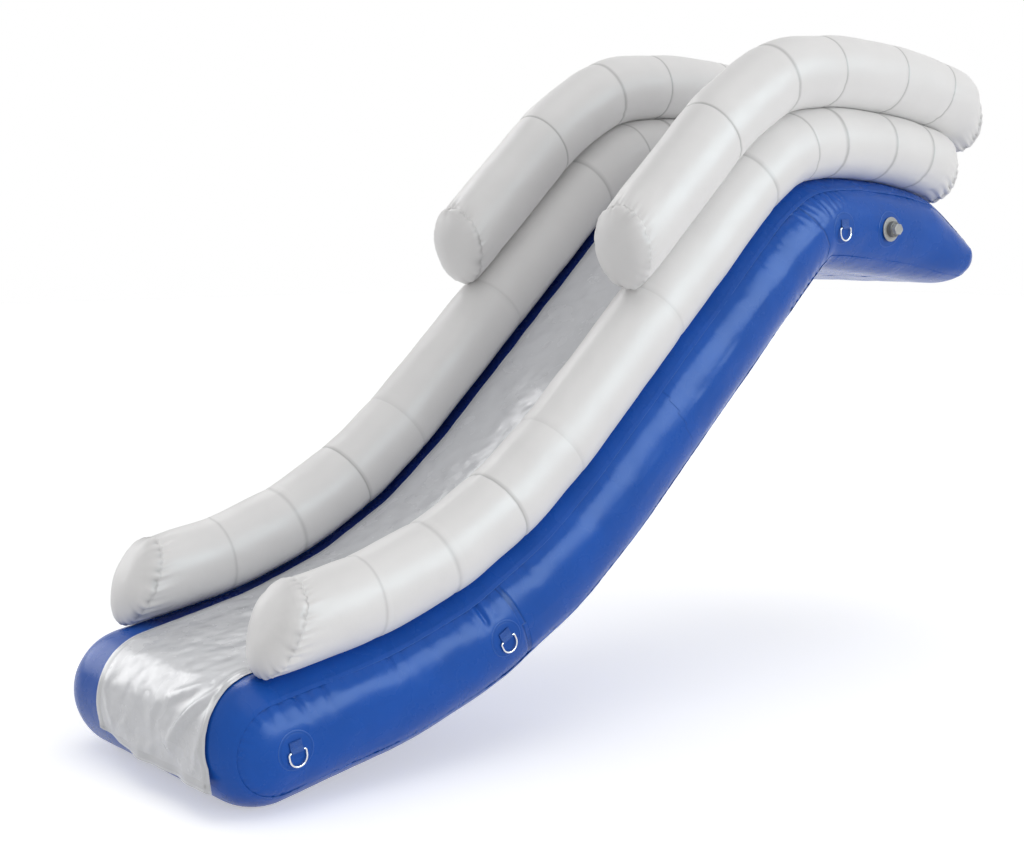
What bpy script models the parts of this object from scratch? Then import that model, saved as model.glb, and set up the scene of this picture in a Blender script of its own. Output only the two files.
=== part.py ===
"""Inflatable slide for getting from a yacht's deck down to the water.

A thick air-filled base carries two pairs of rail tubes and a slide sheet. Six steel rings on
fabric patches lash it down, and one screw-capped valve fills it.
Metres, +Z up, +Y from the water end to the boat, X across. The origin is the point of the
underside, at the boat end, that rests on the deck.
"""

import math

import bmesh
import bpy
import numpy as np
from mathutils import Matrix, Vector

# Fits, in metres
CLEAR = 0.0003
RUN = 0.0004

# Fabric thicknesses
WALL = 0.0012
WEB = 0.0010
WEB_COUNT = 4
PATCH = 0.0012
SHEET = 0.0012
STRAP = 0.0016

# Chambers
RAIL_RADIUS = 0.126
RAIL_SPACING = 0.820
UPPER_SPREAD = 0.016
BASE_THICKNESS = 0.372
DECK_THICKNESS = 0.350
EDGE_INSET = 0.0616
SEAM_DROP = 0.135
SIDE_FLAT = 0.090

# The slide's line, along the top of the base from the water end: slope in degrees, length
FOOT_GORE = (9.6, 0.430)
SWEEP_GORES = ((18.2, 0.297), (28.7, 0.322), (38.4, 0.278))
CHUTE_GORES = ((43.1, 0.619), (43.1, 0.595))
CREST_GORES = ((30.9, 0.186), (5.5, 0.220))
DECK_GORES = ((-3.1, 0.309), (-9.7, 0.232))
TAIL_GORE = (-35.0, 0.262)
TAIL_END_SLOPE = -51.0
TAIL_NOSE_RADIUS = 0.103
DECK_PITCH = -5.4
DECK_REST = 0.443

# Rail ends: lengths of their first and last gores, lean of their cut planes in degrees from +Y,
# and how far their caps puff
LOWER_START = 0.106
LOWER_FRONT_CUT = 67.0
UPPER_FRONT_CUT = 104.0
LOWER_TAIL = 0.045
LOWER_TAIL_CUT = 74.0
UPPER_TAIL = 0.078
UPPER_TAIL_CUT = 88.0
TAIL_NARROWING = 0.86
FRONT_PUFF = 0.058
TAIL_PUFF = 0.045

# Slide sheet: how far its far and near edges lie inside the edges of the base's flat top, on the
# bed, at the nose's start and at the hem
SHEET_ON_BED = (0.0484, 0.0234)
SHEET_AT_NOSE = (0.0784, -0.0066)
SHEET_AT_HEM = (0.1324, -0.0816)
SHEET_HANG = 0.030
SHEET_DIP = 0.038
EDGE_LIFT = 0.10
FOLD_WIDTH = 0.020

# The sheet's main folds: start and end, each across and down from the nose's start, and height
FOLDS = (
    ((0.350, 0.080), (0.195, 0.300), 0.016),
    ((0.300, 0.060), (0.140, 0.160), 0.008),
    ((0.310, -0.050), (0.350, 0.090), 0.006),
)

# Lashing rings, by distance along the side's middle line from the front nose's centre, and how
# far below that line they sit
RING_STATIONS = {"front": 0.028, "middle": 0.810, "rear": 2.847}
RING_DROPS = {"front": 0.0, "middle": 0.0, "rear": 0.016}
RING_WIDTH = 0.062
RING_DEPTH = 0.050
RING_WIRE = 0.0055
STRAP_WIDTH = 0.040
STRAP_TAIL = 0.030
STRAP_CLOSING = (30, 60)
RING_PATCH_RADIUS = 0.0575

# Inflation valve
VALVE_STATION = 3.114
VALVE_DROP = 0.011
VALVE_PATCH_RADIUS = 0.066
FLANGE_RADIUS = 0.045
FLANGE_HEIGHT = 0.004
FLANGE_EDGE = 0.001
GASKET = 0.0015
GASKET_INSET = 0.003
THROAT_RADIUS = 0.022
THROAT_BORE = 0.018
THROAT_DEPTH = 0.024
COLLAR_RADIUS = 0.024
COLLAR_HEIGHT = 0.0125
NUT_RADIUS = 0.030
NUT_HEIGHT = 0.006
STEM_RADIUS = 0.003
STEM_HEAD_RADIUS = 0.007
STEM_HEAD = 0.002
STEM_HEAD_DEPTH = 0.008
DISC_LAP = 0.001
DISC = 0.003
SPIDER_THICKNESS = 0.004
SPIDER_HUB = 0.006
SPIDER_RIM = 0.0022
SPIDER_DEPTH = 0.008
SPIDER_ARMS = 3
WINDOW_HALF_TURN = 48
SPRING_WIRE = 0.001
SPRING_TURN_COUNT = 4
CAP_RADIUS = 0.029
CAP_TOP = 0.004
CAP_EDGE = 0.0015
WASHER = 0.0014
GRIP_LENGTH = 0.052
GRIP_WIDTH = 0.038
GRIP_HEIGHT = 0.015
GRIP_END = 0.5

# Air sleeves between chambers
SLEEVE_RADIUS = 0.009
SLEEVE_BORE = 0.006
SLEEVE_LENGTH = 0.030

# How finely round shapes are cut
RAIL_SIDE_COUNT = 20
NOSE_STEPS = 8
TAIL_STEPS = 6
WRAP_STEPS = 3
SHOULDER_STEPS = 3
TURN_STEPS = 24
SMALL_TURN_STEPS = 12
BOW_STEPS = 10
LOOP_STEPS = 6
WINDOW_STEPS = 6
COIL_STEPS = 8
CAP_RING_COUNT = 2
FOOT_ROW_COUNT = 4
NOSE_ROW_COUNT = 2
HANG_ROW_COUNT = 2
SHEET_COLUMN_COUNT = 15
SHEET_CROWDING = 1.5

PART_NAME = "inflatable_yacht_slide"
HANDS = {"left": -1, "right": 1}

GORES = (FOOT_GORE, *SWEEP_GORES, *CHUTE_GORES, *CREST_GORES, *DECK_GORES, TAIL_GORE)
SLOPES = [math.radians(slope) for slope, length in GORES]
LENGTHS = [length for slope, length in GORES]
CHUTE_MIDDLE = 2 + len(SWEEP_GORES)
CREST_START = CHUTE_MIDDLE + 1
CREST_CORNER = CREST_START + 1
DECK_START = CREST_CORNER + 1
DECK_MIDDLE = DECK_START + 1
TAIL_START = DECK_START + len(DECK_GORES)
CORE = RAIL_SPACING / 2 - EDGE_INSET
SIDE_ROUND = BASE_THICKNESS / 2
CONTACT = math.asin(EDGE_INSET / (SIDE_ROUND + RAIL_RADIUS))
SEAM = math.asin(SEAM_DROP / SIDE_ROUND)


def along(slope):
    """Unit vector in (y, z) along a slope in radians."""
    return np.array((math.cos(slope), math.sin(slope)))


def upward(slope):
    """Unit vector in (y, z) square to a slope, on its upper side."""
    return np.array((-math.sin(slope), math.cos(slope)))


def meet(point_a, dir_a, point_b, dir_b):
    """Where two lines in (y, z) cross."""
    run = np.linalg.solve(np.column_stack((dir_a, -dir_b)), point_b - point_a)
    return point_a + dir_a * run[0]


def walk(slopes, lengths):
    """Knots of the slide's line, starting at the foot."""
    knots = [np.zeros(2)]
    for slope, length in zip(slopes, lengths):
        knots.append(knots[-1] + along(slope) * length)
    return knots


def mitres():
    """At each knot, the direction of its mitre plane and how much it stretches a section."""
    before = [SLOPES[0], *SLOPES]
    after = [*SLOPES, math.radians(TAIL_END_SLOPE)]
    return [(upward((a + b) / 2), 1 / math.cos((a - b) / 2)) for a, b in zip(before, after)]


class Base:
    """Side outline of the base chamber, moved in from its outer face by an inset."""

    def __init__(self, inset):
        lifts = mitres()
        pitch = math.radians(DECK_PITCH)
        knots = walk(SLOPES, LENGTHS)
        deck = knots[DECK_MIDDLE] - upward(pitch) * (DECK_THICKNESS - inset)
        self.top = [k - up * s * inset for k, (up, s) in zip(knots, lifts)]
        self.bottom = []
        for index, (knot, (up, stretch)) in enumerate(zip(knots, lifts)):
            if index <= CREST_START:
                self.bottom.append(knot - up * stretch * (BASE_THICKNESS - inset))
            elif index == CREST_CORNER:
                chute = along(SLOPES[CREST_START - 1])
                self.bottom.append(meet(self.bottom[CREST_START], chute, deck, along(pitch)))
            else:
                self.bottom.append(meet(knot, up, deck, along(pitch)))
        self.nose_centre = (self.top[0] + self.bottom[0]) / 2
        self.nose_radius = BASE_THICKNESS / 2 - inset
        end = math.radians(TAIL_END_SLOPE)
        self.tail_radius = TAIL_NOSE_RADIUS - inset
        self.tail_centre = meet(
            self.top[-1] - upward(end) * self.tail_radius,
            along(end),
            deck + upward(pitch) * self.tail_radius,
            along(pitch),
        )

    def middles(self):
        """Half-way points between top and bottom at each knot."""
        return [(top + bottom) / 2 for top, bottom in zip(self.top, self.bottom)]

    def nose_arc(self):
        """Points round the front nose, from the bottom to the top, without the two ends."""
        slope = SLOPES[0]
        points = []
        for step in range(1, NOSE_STEPS):
            turn = slope - math.pi / 2 - math.pi * step / NOSE_STEPS
            points.append(self.nose_centre + along(turn) * self.nose_radius)
        return points

    def tail_arc(self):
        """Points round the tail's nose, from the top to the bottom, with both ends."""
        first = math.radians(TAIL_END_SLOPE + 90)
        last = math.radians(DECK_PITCH - 90)
        turns = np.linspace(first, last, TAIL_STEPS + 1)
        return [self.tail_centre + along(turn) * self.tail_radius for turn in turns]

    def outline(self):
        """Closed side outline: points, and the middle point that each one shrinks towards."""
        middles = self.middles()
        tail = self.tail_arc()
        nose = self.nose_arc()
        points = [*self.top, *tail, *self.bottom[::-1], *nose]
        centres = [
            *middles,
            *[self.tail_centre] * len(tail),
            *middles[::-1],
            *[self.nose_centre] * len(nose),
        ]
        return points, centres


OUTER = Base(0.0)
MIDDLES = OUTER.middles()
REST_POINT = OUTER.bottom[CREST_CORNER] + along(math.radians(DECK_PITCH)) * DECK_REST


def place(x, point):
    """World position of a (y, z) point, with the deck rest at the origin."""
    return Vector((x, point[0] - REST_POINT[0], point[1] - REST_POINT[1]))


def column(inset, turn, side=1):
    """Outline of the base at a turn round its side: 0 at the top's edge, 90 degrees outermost."""
    points, centres = Base(inset).outline()
    x = side * (CORE + (SIDE_ROUND - inset) * math.sin(turn))
    shrink = math.cos(turn)
    return [place(x, c + (p - c) * shrink) for p, c in zip(points, centres)]


def new_material(name, color, roughness, metallic=0.0):
    """A plain Principled material."""
    material = bpy.data.materials.new(name)
    material.use_nodes = True
    shader = material.node_tree.nodes["Principled BSDF"]
    shader.inputs["Base Color"].default_value = (*color, 1.0)
    shader.inputs["Roughness"].default_value = roughness
    shader.inputs["Metallic"].default_value = metallic
    return material


FINISHES = {
    "blue": ((0.012, 0.070, 0.380), 0.25, 0.0),
    "white": ((0.760, 0.765, 0.770), 0.35, 0.0),
    "pale": ((0.600, 0.615, 0.635), 0.18, 0.0),
    "steel": ((0.780, 0.790, 0.800), 0.15, 1.0),
    "grey": ((0.230, 0.235, 0.240), 0.40, 0.0),
    "dark": ((0.020, 0.020, 0.022), 0.60, 0.0),
}


class Workshop:
    """Puts finished objects in the part's collection and cutters in their own."""

    def __init__(self):
        for item in list(bpy.data.objects):
            bpy.data.objects.remove(item)
        self.parts = bpy.data.collections.new(PART_NAME)
        self.cutters = bpy.data.collections.new("cutters")
        bpy.context.scene.collection.children.link(self.parts)
        bpy.context.scene.collection.children.link(self.cutters)

    def add(self, name, data, finish, matrix=None):
        """Link a mesh or curve as a named piece with its own material."""
        piece = bpy.data.objects.new(name, data)
        piece.data.materials.append(new_material(name, *FINISHES[finish]))
        if matrix is not None:
            piece.matrix_world = matrix
        if isinstance(data, bpy.types.Mesh):
            data.shade_smooth()
            data.set_sharp_from_angle(angle=math.radians(32))
        self.parts.objects.link(piece)
        return piece

    def cutter(self, name, radius, length, matrix):
        """A cylinder along its own Z, kept out of the part."""
        mesh = bpy.data.meshes.new(name)
        shape = bmesh.new()
        sizes = {"segments": TURN_STEPS, "radius1": radius, "radius2": radius, "depth": length}
        bmesh.ops.create_cone(shape, cap_ends=True, **sizes)
        shape.to_mesh(mesh)
        shape.free()
        tool = bpy.data.objects.new(name, mesh)
        tool.matrix_world = matrix
        tool.hide_render = True
        tool.display_type = "WIRE"
        self.cutters.objects.link(tool)
        return tool


def join(piece, tool, operation):
    """Exact Boolean modifier on a piece."""
    step = piece.modifiers.new(tool.name, "BOOLEAN")
    step.operation = operation
    step.solver = "EXACT"
    step.object = tool


def thicken(piece, thickness, offset):
    """Give a surface its thickness: inwards at offset -1, outwards at 1."""
    shell = piece.modifiers.new("thickness", "SOLIDIFY")
    shell.thickness = thickness
    shell.offset = offset
    shell.use_even_offset = True


def surface(name, rows, closed=True, lids=(), mirrored=False):
    """Open surface of quads between rows of points, plus lids whose corners are (row, index)."""
    mesh = bpy.data.meshes.new(name)
    shape = bmesh.new()
    grid = [[shape.verts.new(point) for point in row] for row in rows]
    count = len(rows[0])
    for low, high in zip(grid, grid[1:]):
        for index in range(count if closed else count - 1):
            after = (index + 1) % count
            shape.faces.new((low[index], high[index], high[after], low[after]))
    for lid in lids:
        shape.faces.new([grid[row][index] for row, index in reversed(lid)])
    if mirrored:
        bmesh.ops.reverse_faces(shape, faces=shape.faces)
    shape.to_mesh(mesh)
    shape.free()
    return mesh


def shell(name, outer, inner, tips=None):
    """Closed shell of closed rings: open at both ends, or a bowl with an outer and inner tip."""
    mesh = bpy.data.meshes.new(name)
    shape = bmesh.new()
    grid = [[shape.verts.new(point) for point in row] for row in [*outer, *inner[::-1]]]
    spans = list(zip(grid, grid[1:]))
    if tips is None:
        spans.append((grid[-1], grid[0]))
    else:
        for row, tip in zip((grid[0], grid[-1]), tips):
            corner = shape.verts.new(tip)
            for first, second in zip(row, row[1:] + row[:1]):
                shape.faces.new((first, second, corner))
    for low, high in spans:
        for index, point in enumerate(low):
            after = (index + 1) % len(low)
            shape.faces.new((point, low[after], high[after], high[index]))
    bmesh.ops.recalc_face_normals(shape, faces=shape.faces)
    shape.to_mesh(mesh)
    shape.free()
    return mesh


def wrap_panel(shop):
    """The blue belt that runs over the top, round both noses and along the underside."""
    edge = SEAM - CLEAR / 2 / SIDE_ROUND
    turns = [*np.linspace(edge, CONTACT, WRAP_STEPS + 1), 0.0]
    rows = [column(0.0, turn, -1) for turn in turns]
    rows += [column(0.0, turn, 1) for turn in reversed(turns)]
    panel = shop.add("base_wrap_panel", surface("base_wrap_panel", rows), "blue")
    thicken(panel, WALL, -1)
    return panel


def side_turns():
    """Turns of the side panel's columns, from its seam to the edge of its flat."""
    first = SEAM + CLEAR / 2 / SIDE_ROUND
    last = math.acos(SIDE_FLAT / 2 / SIDE_ROUND)
    return np.linspace(first, last, SHOULDER_STEPS + 1)


def side_lids(row):
    """Faces that close a side panel's last column: a ladder between top and bottom."""
    knots = len(OUTER.top)
    bottom = [2 * knots + TAIL_STEPS - index for index in range(knots + 1)]
    lids = []
    for index in range(knots):
        corners = (index, index + 1, bottom[index + 1], bottom[index])
        lids.append([(row, corner) for corner in corners])
    lids.append([(row, corner) for corner in range(knots, knots + TAIL_STEPS + 1)])
    nose = range(bottom[0] + 1, bottom[0] + NOSE_STEPS)
    lids.append([(row, corner) for corner in (bottom[0], *nose, 0)])
    return lids


def side_surface(name, inset, side):
    """A side panel's outer surface, moved in by an inset."""
    rows = [column(inset, turn, side) for turn in side_turns()]
    return surface(name, rows, lids=side_lids(len(rows) - 1), mirrored=side < 0)


def side_panel(shop, name, side):
    """A puffed side panel, a bowl that closes one side of the base."""
    panel = shop.add(name, side_surface(name, 0.0, side), "blue")
    thicken(panel, WALL, -1)
    return panel


def flat_plate(name, outlines, thickness):
    """A flat curve, filled on both sides, of the given thickness."""
    plate = bpy.data.curves.new(name, "CURVE")
    plate.dimensions = "2D"
    plate.fill_mode = "BOTH"
    plate.extrude = thickness / 2
    for outline in outlines:
        spline = plate.splines.new("POLY")
        spline.points.add(len(outline) - 1)
        for point, (u, v) in zip(spline.points, outline):
            point.co = (u, v, 0.0, 1.0)
        spline.use_cyclic_u = True
    return plate


def webs(shop):
    """Lengthwise webs that hold the base's top and underside apart."""
    inside = Base(WALL + CLEAR)
    loop = inside.top[1 : TAIL_START + 1] + inside.bottom[1 : TAIL_START + 1][::-1]
    outline = [tuple(point - REST_POINT) for point in loop]
    for number in range(WEB_COUNT):
        x = CORE * (2 * number + 1 - WEB_COUNT) / WEB_COUNT
        upright = Matrix(((0, 0, 1, x), (1, 0, 0, 0), (0, 1, 0, 0), (0, 0, 0, 1)))
        name = f"base_web_{number + 1}"
        shop.add(name, flat_plate(name, [outline], WEB), "blue", upright)


class Rail:
    """One rail tube: its centres and mitre planes, from its front cut to its tail cut."""

    def __init__(self, x, side, rise, front, tail, contacts):
        lifts = mitres()
        first, offset, front_cut = front
        last, tail_cut = tail
        gore, tail_gore = SLOPES[first], SLOPES[TAIL_START]
        self.x = side * x
        self.side = side
        self.contacts = contacts
        knots = [top + up * rise(k) for k, (top, (up, s)) in enumerate(zip(OUTER.top, lifts))]
        start = meet(knots[first + 1], along(gore), OUTER.top[first], upward(gore))
        start = start + along(gore) * offset
        end = knots[TAIL_START] + along(tail_gore) * last
        inner = range(first + 1, TAIL_START + 1)
        self.centres = [start, *[knots[k] for k in inner], end]
        ends = [self.cut_plane(front_cut, gore), self.cut_plane(tail_cut, tail_gore)]
        self.planes = [ends[0], *[lifts[k] for k in inner], ends[1]]

    @staticmethod
    def cut_plane(lean, slope):
        """Direction of an end's cut plane and how much it stretches the section."""
        cut = along(math.radians(lean))
        return cut, 1 / float(cut @ upward(slope))

    def turns(self):
        """Angles of the section's corners, with a corner at each contact line."""
        low, high = self.contacts
        half = RAIL_SIDE_COUNT // 2
        outer = np.linspace(low, high, half, endpoint=False)
        inner = np.linspace(high, low + 2 * math.pi, half, endpoint=False)
        return [*outer, *inner]

    def ring(self, index, radius, push=0.0):
        """One ring of the tube, pushed out of its plane. The tail's ring narrows from above."""
        (cut, stretch), centre = self.planes[index], self.centres[index]
        square = np.array((cut[1], -cut[0]))
        if index == len(self.centres) - 1:
            radius = radius * TAIL_NARROWING
            centre = centre - cut * stretch * RAIL_RADIUS * (1 - TAIL_NARROWING)
        points = []
        for turn in self.turns():
            across = radius * math.cos(turn)
            up = radius * math.sin(turn) * stretch
            points.append(place(self.x + self.side * across, centre + cut * up + square * push))
        return points

    def tube(self, shop, name):
        """The tube's open-ended shell."""
        count = len(self.centres)
        outer = [self.ring(index, RAIL_RADIUS) for index in range(count)]
        inner = [self.ring(index, RAIL_RADIUS - WALL) for index in range(count)]
        return shop.add(name, shell(name, outer, inner), "white")

    def cap(self, shop, name, index, puff):
        """A puffed end cap, a shallow bowl with its rim just off the tube's end."""
        way = -1 if index == 0 else 1
        bowls = []
        for radius, height in ((RAIL_RADIUS, puff), (RAIL_RADIUS - WALL, puff - WALL)):
            steps = CAP_RING_COUNT + 1
            turns = [math.pi / 2 * step / steps for step in range(steps + 1)]
            pushes = [way * (CLEAR + height * math.sin(turn)) for turn in turns]
            rings = [self.ring(index, radius * math.cos(t), p) for t, p in zip(turns, pushes)]
            bowls.append(rings[::-1])
        (outer_tip, *outer), (inner_tip, *inner) = bowls
        tips = (outer_tip[0], inner_tip[0])
        return shop.add(name, shell(name, outer, inner, tips), "white")


def lower_rise(index):
    """Height of a lower rail's centre above the base's top, along the mitre at a knot."""
    up, stretch = mitres()[index]
    half = float(np.linalg.norm(OUTER.top[index] - MIDDLES[index]))
    reach = RAIL_RADIUS * math.cos(CONTACT) + CLEAR / math.cos(CONTACT)
    return reach * stretch - half * (1 - math.cos(CONTACT))


def upper_rise(index):
    """Height of an upper rail's centre above the base's top, along the mitre at a knot."""
    up, stretch = mitres()[index]
    spacing = 2 * RAIL_RADIUS + CLEAR
    return lower_rise(index) + stretch * math.sqrt(spacing**2 - UPPER_SPREAD**2)


def rails(shop, side, hand):
    """Both rail tubes of one side, with their end caps."""
    lean = math.asin(UPPER_SPREAD / (2 * RAIL_RADIUS + CLEAR))
    to_base = -math.pi / 2 - CONTACT
    to_upper = math.pi / 2 - lean
    spread = RAIL_SPACING / 2 + UPPER_SPREAD
    front = (0, LOWER_START, LOWER_FRONT_CUT)
    tail = (LOWER_TAIL, LOWER_TAIL_CUT)
    contacts = (to_base, to_upper)
    lower = Rail(RAIL_SPACING / 2, side, lower_rise, front, tail, contacts)
    front = (CHUTE_MIDDLE, 0.0, UPPER_FRONT_CUT)
    tail = (UPPER_TAIL, UPPER_TAIL_CUT)
    contacts = (to_upper - math.pi, to_upper)
    upper = Rail(spread, side, upper_rise, front, tail, contacts)
    tubes = []
    for level, rail in (("lower", lower), ("upper", upper)):
        tubes.append(rail.tube(shop, f"{level}_rail_{hand}"))
        rail.cap(shop, f"{level}_rail_front_cap_{hand}", 0, FRONT_PUFF)
        rail.cap(shop, f"{level}_rail_tail_cap_{hand}", len(rail.centres) - 1, TAIL_PUFF)
    return lower, tubes


def seat_frame(x, point, slope, lean, side):
    """Frame at a contact between chambers, with its Z along the line through their centres."""
    up = upward(slope)
    axis = Vector((side * math.sin(lean), up[0] * math.cos(lean), up[1] * math.cos(lean)))
    spin = Vector((0.0, 0.0, 1.0)).rotation_difference(axis).to_matrix().to_4x4()
    return Matrix.Translation(place(side * x, point)) @ spin


def turned(name, profile):
    """Profile of (radius, height) points for a Screw modifier, as a closed or open line."""
    mesh = bpy.data.meshes.new(name)
    shape = bmesh.new()
    corners = [shape.verts.new((radius, 0.0, height)) for radius, height in profile]
    for first, second in zip(corners, corners[1:]):
        shape.edges.new((first, second))
    if profile[0][0] > 0:
        shape.edges.new((corners[-1], corners[0]))
    shape.to_mesh(mesh)
    shape.free()
    return mesh


def spin(piece, steps=TURN_STEPS):
    """Turn a profile about its own Z."""
    screw = piece.modifiers.new("turn", "SCREW")
    screw.steps = steps
    screw.render_steps = steps
    screw.merge_threshold = 0.00001
    screw.use_merge_vertices = True
    screw.use_smooth_shade = False


def air_sleeves(shop, side, hand, lower, tubes, base):
    """Sleeves that let air pass from the base to the lower rail and on to the upper one."""
    slope = SLOPES[DECK_START]
    centre = (lower.centres[DECK_START] + lower.centres[DECK_MIDDLE]) / 2
    lean = math.asin(UPPER_SPREAD / (2 * RAIL_RADIUS + CLEAR))
    reach = RAIL_RADIUS + CLEAR / 2
    half = SLEEVE_LENGTH / 2
    profile = washer_profile(SLEEVE_RADIUS, SLEEVE_BORE, -half, half)
    seats = {"lower": (-reach, CONTACT, (base, tubes[0])), "upper": (reach, lean, tubes)}
    for level, (away, tilt, walls) in seats.items():
        x = RAIL_SPACING / 2 + away * math.sin(tilt)
        point = centre + upward(slope) * away * math.cos(tilt)
        frame = seat_frame(x, point, slope, tilt, side)
        name = f"air_sleeve_{level}_{hand}"
        spin(shop.add(name, turned(name, profile), "grey", frame), SMALL_TURN_STEPS)
        hole = shop.cutter(f"{name}_hole", SLEEVE_RADIUS + RUN, SLEEVE_LENGTH, frame)
        for wall in walls:
            join(wall, hole, "DIFFERENCE")


def fold_lift(x, run):
    """Height of the sheet's folds at a place across it and a run down from the nose's start."""
    lift = 0.0
    for start, end, height in FOLDS:
        line = np.subtract(end, start)
        length = float(np.hypot(*line))
        offset = np.subtract((x, run), start)
        travel = float(offset @ line) / length**2
        aside = float(offset[0] * line[1] - offset[1] * line[0]) / length
        fade = max(0.0, 1 - abs(2 * travel - 1) ** 3)
        lift += height * fade * math.exp(-((aside / FOLD_WIDTH) ** 2))
    return lift


def sheet_rows():
    """Rows of the sheet from the deck end: middle point, surface point, run, share of hang."""
    base = Base(-CLEAR)
    middles = base.middles()
    rows = []
    for index in range(TAIL_START, 1, -1):
        rows.append((middles[index], base.top[index], -FOOT_GORE[1], 0.0))
    for step in range(FOOT_ROW_COUNT):
        share = step / FOOT_ROW_COUNT
        middle = middles[1] + (middles[0] - middles[1]) * share
        point = base.top[1] + (base.top[0] - base.top[1]) * share
        rows.append((middle, point, FOOT_GORE[1] * (share - 1), 0.0))
    quarter = NOSE_STEPS // 2 * NOSE_ROW_COUNT
    for step in range(quarter + 1):
        turn = math.pi / 2 * step / quarter
        reach = along(SLOPES[0] + math.pi / 2 + turn) * base.nose_radius
        rows.append((base.nose_centre, base.nose_centre + reach, SIDE_ROUND * turn, 0.0))
    middle, point, run, hang = rows[-1]
    for step in range(HANG_ROW_COUNT):
        share = (step + 1) / HANG_ROW_COUNT
        rows.append((middle, point, run + (SHEET_HANG + SHEET_DIP) * share, share))
    return rows


def sheet_edges(run):
    """Where the sheet's far and near edges lie at a run down from the nose's start."""
    hem = SIDE_ROUND * math.pi / 2 + SHEET_HANG + SHEET_DIP
    start, end = (SHEET_ON_BED, SHEET_AT_NOSE) if run < 0 else (SHEET_AT_NOSE, SHEET_AT_HEM)
    share = 1 + run / FOOT_GORE[1] if run < 0 else run / hem
    far, near = [low + (high - low) * share for low, high in zip(start, end)]
    return far - CORE, CORE - near


def sheet_point(row, share):
    """A point of the sheet, at a share of the way from its far edge to its near edge."""
    middle, point, run, hang = row
    far, near = sheet_edges(run)
    x = far + (near - far) * share
    past = max(0.0, x - CORE)
    reach = point - middle
    out = reach / np.linalg.norm(reach)
    lift = fold_lift(x, run) + EDGE_LIFT * past
    drop = hang * (SHEET_HANG + SHEET_DIP * (1 - (1 - share) ** 4))
    shrink = math.sqrt(1 - (past / SIDE_ROUND) ** 2)
    return place(x, middle + reach * shrink + out * lift - np.array((0.0, drop)))


def slide_sheet(shop):
    """The glossy sheet on the bed: laid between the rails, over the nose, and hanging free."""
    steps = range(SHEET_COLUMN_COUNT + 1)
    shares = [1 - (1 - step / SHEET_COLUMN_COUNT) ** SHEET_CROWDING for step in steps]
    rows = [[sheet_point(row, share) for share in shares] for row in sheet_rows()]
    sheet = shop.add("slide_sheet", surface("slide_sheet", rows, closed=False), "pale")
    thicken(sheet, SHEET, 1)
    return sheet


class Anchor:
    """A place on the base's side, at a distance from the front nose and below the middle line."""

    def __init__(self, distance, side, drop):
        lengths = [float(np.linalg.norm(b - a)) for a, b in zip(MIDDLES, MIDDLES[1:])]
        self.gore = 0
        while distance > lengths[self.gore]:
            distance -= lengths[self.gore]
            self.gore += 1
        start, end = MIDDLES[self.gore], MIDDLES[self.gore + 1]
        step = (end - start) / lengths[self.gore]
        self.slope = math.atan2(step[1], step[0])
        self.point = start + step * distance - upward(self.slope) * drop
        self.side = side
        self.face = CORE + SIDE_ROUND * math.sin(side_turns()[-1])

    def frame(self, out=0.0):
        """Frame with X along the side, Y up it and Z out of it, a distance off the panel."""
        run, up = along(self.slope), upward(self.slope)
        x_axis = Vector((0.0, run[0], run[1])) * self.side
        y_axis = Vector((0.0, up[0], up[1]))
        z_axis = Vector((self.side, 0.0, 0.0))
        turn = Matrix((x_axis, y_axis, z_axis)).transposed().to_4x4()
        return Matrix.Translation(place(self.side * (self.face + out), self.point)) @ turn


def patch(shop, name, anchor, radius):
    """A round patch welded on the side panel, bent as the panel is."""
    piece = shop.add(name, side_surface(name, -CLEAR, anchor.side), "blue")
    thicken(piece, PATCH, 1)
    disc = shop.cutter(f"{name}_disc", radius, 4 * radius, anchor.frame())
    join(piece, disc, "INTERSECT")
    return piece


def ring_line():
    """Centre line of a D-ring: a straight bar and a deep round bow, hanging along -Y."""
    half = (RING_WIDTH - RING_WIRE) / 2
    depth = RING_DEPTH - RING_WIRE
    corner = RING_WIRE
    leg = depth - half
    points = [(-half + corner, 0.0), (half - corner, 0.0)]
    points.append((half - corner * (1 - math.sqrt(0.5)), -corner * (1 - math.sqrt(0.5))))
    points.append((half, -corner))
    for step in range(BOW_STEPS + 1):
        turn = math.pi * step / BOW_STEPS
        points.append((half * math.cos(turn), -leg - half * math.sin(turn)))
    points.append((-half, -corner))
    points.append((-half + corner * (1 - math.sqrt(0.5)), -corner * (1 - math.sqrt(0.5))))
    return points


def wire(name, points, radius, closed):
    """A round wire along a line of points."""
    line = bpy.data.curves.new(name, "CURVE")
    line.dimensions = "3D"
    line.bevel_depth = radius
    line.bevel_resolution = 1
    line.use_fill_caps = not closed
    spline = line.splines.new("POLY")
    spline.points.add(len(points) - 1)
    for knot, point in zip(spline.points, points):
        knot.co = (*point, 1.0)
    spline.use_cyclic_u = closed
    return line


def strap_outline(loop):
    """Section of the strap: a loop round the bar and a flat tail up the patch."""
    tail = -loop + 2 * STRAP
    points = [(-loop, STRAP_TAIL), (-loop, 0.0)]
    for step in range(1, LOOP_STEPS + 1):
        turn = math.pi + math.pi * step / LOOP_STEPS
        points.append((loop * math.cos(turn), loop * math.sin(turn)))
    for degrees in STRAP_CLOSING:
        turn = math.radians(degrees)
        points.append((loop * math.cos(turn), loop * math.sin(turn)))
    points.append((tail, 2 * loop))
    points.append((tail, STRAP_TAIL))
    return points


def circle(radius, sides=12):
    """Corners of a circle in a plane."""
    turns = [2 * math.pi * step / sides for step in range(sides)]
    return [(radius * math.cos(turn), radius * math.sin(turn)) for turn in turns]


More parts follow.
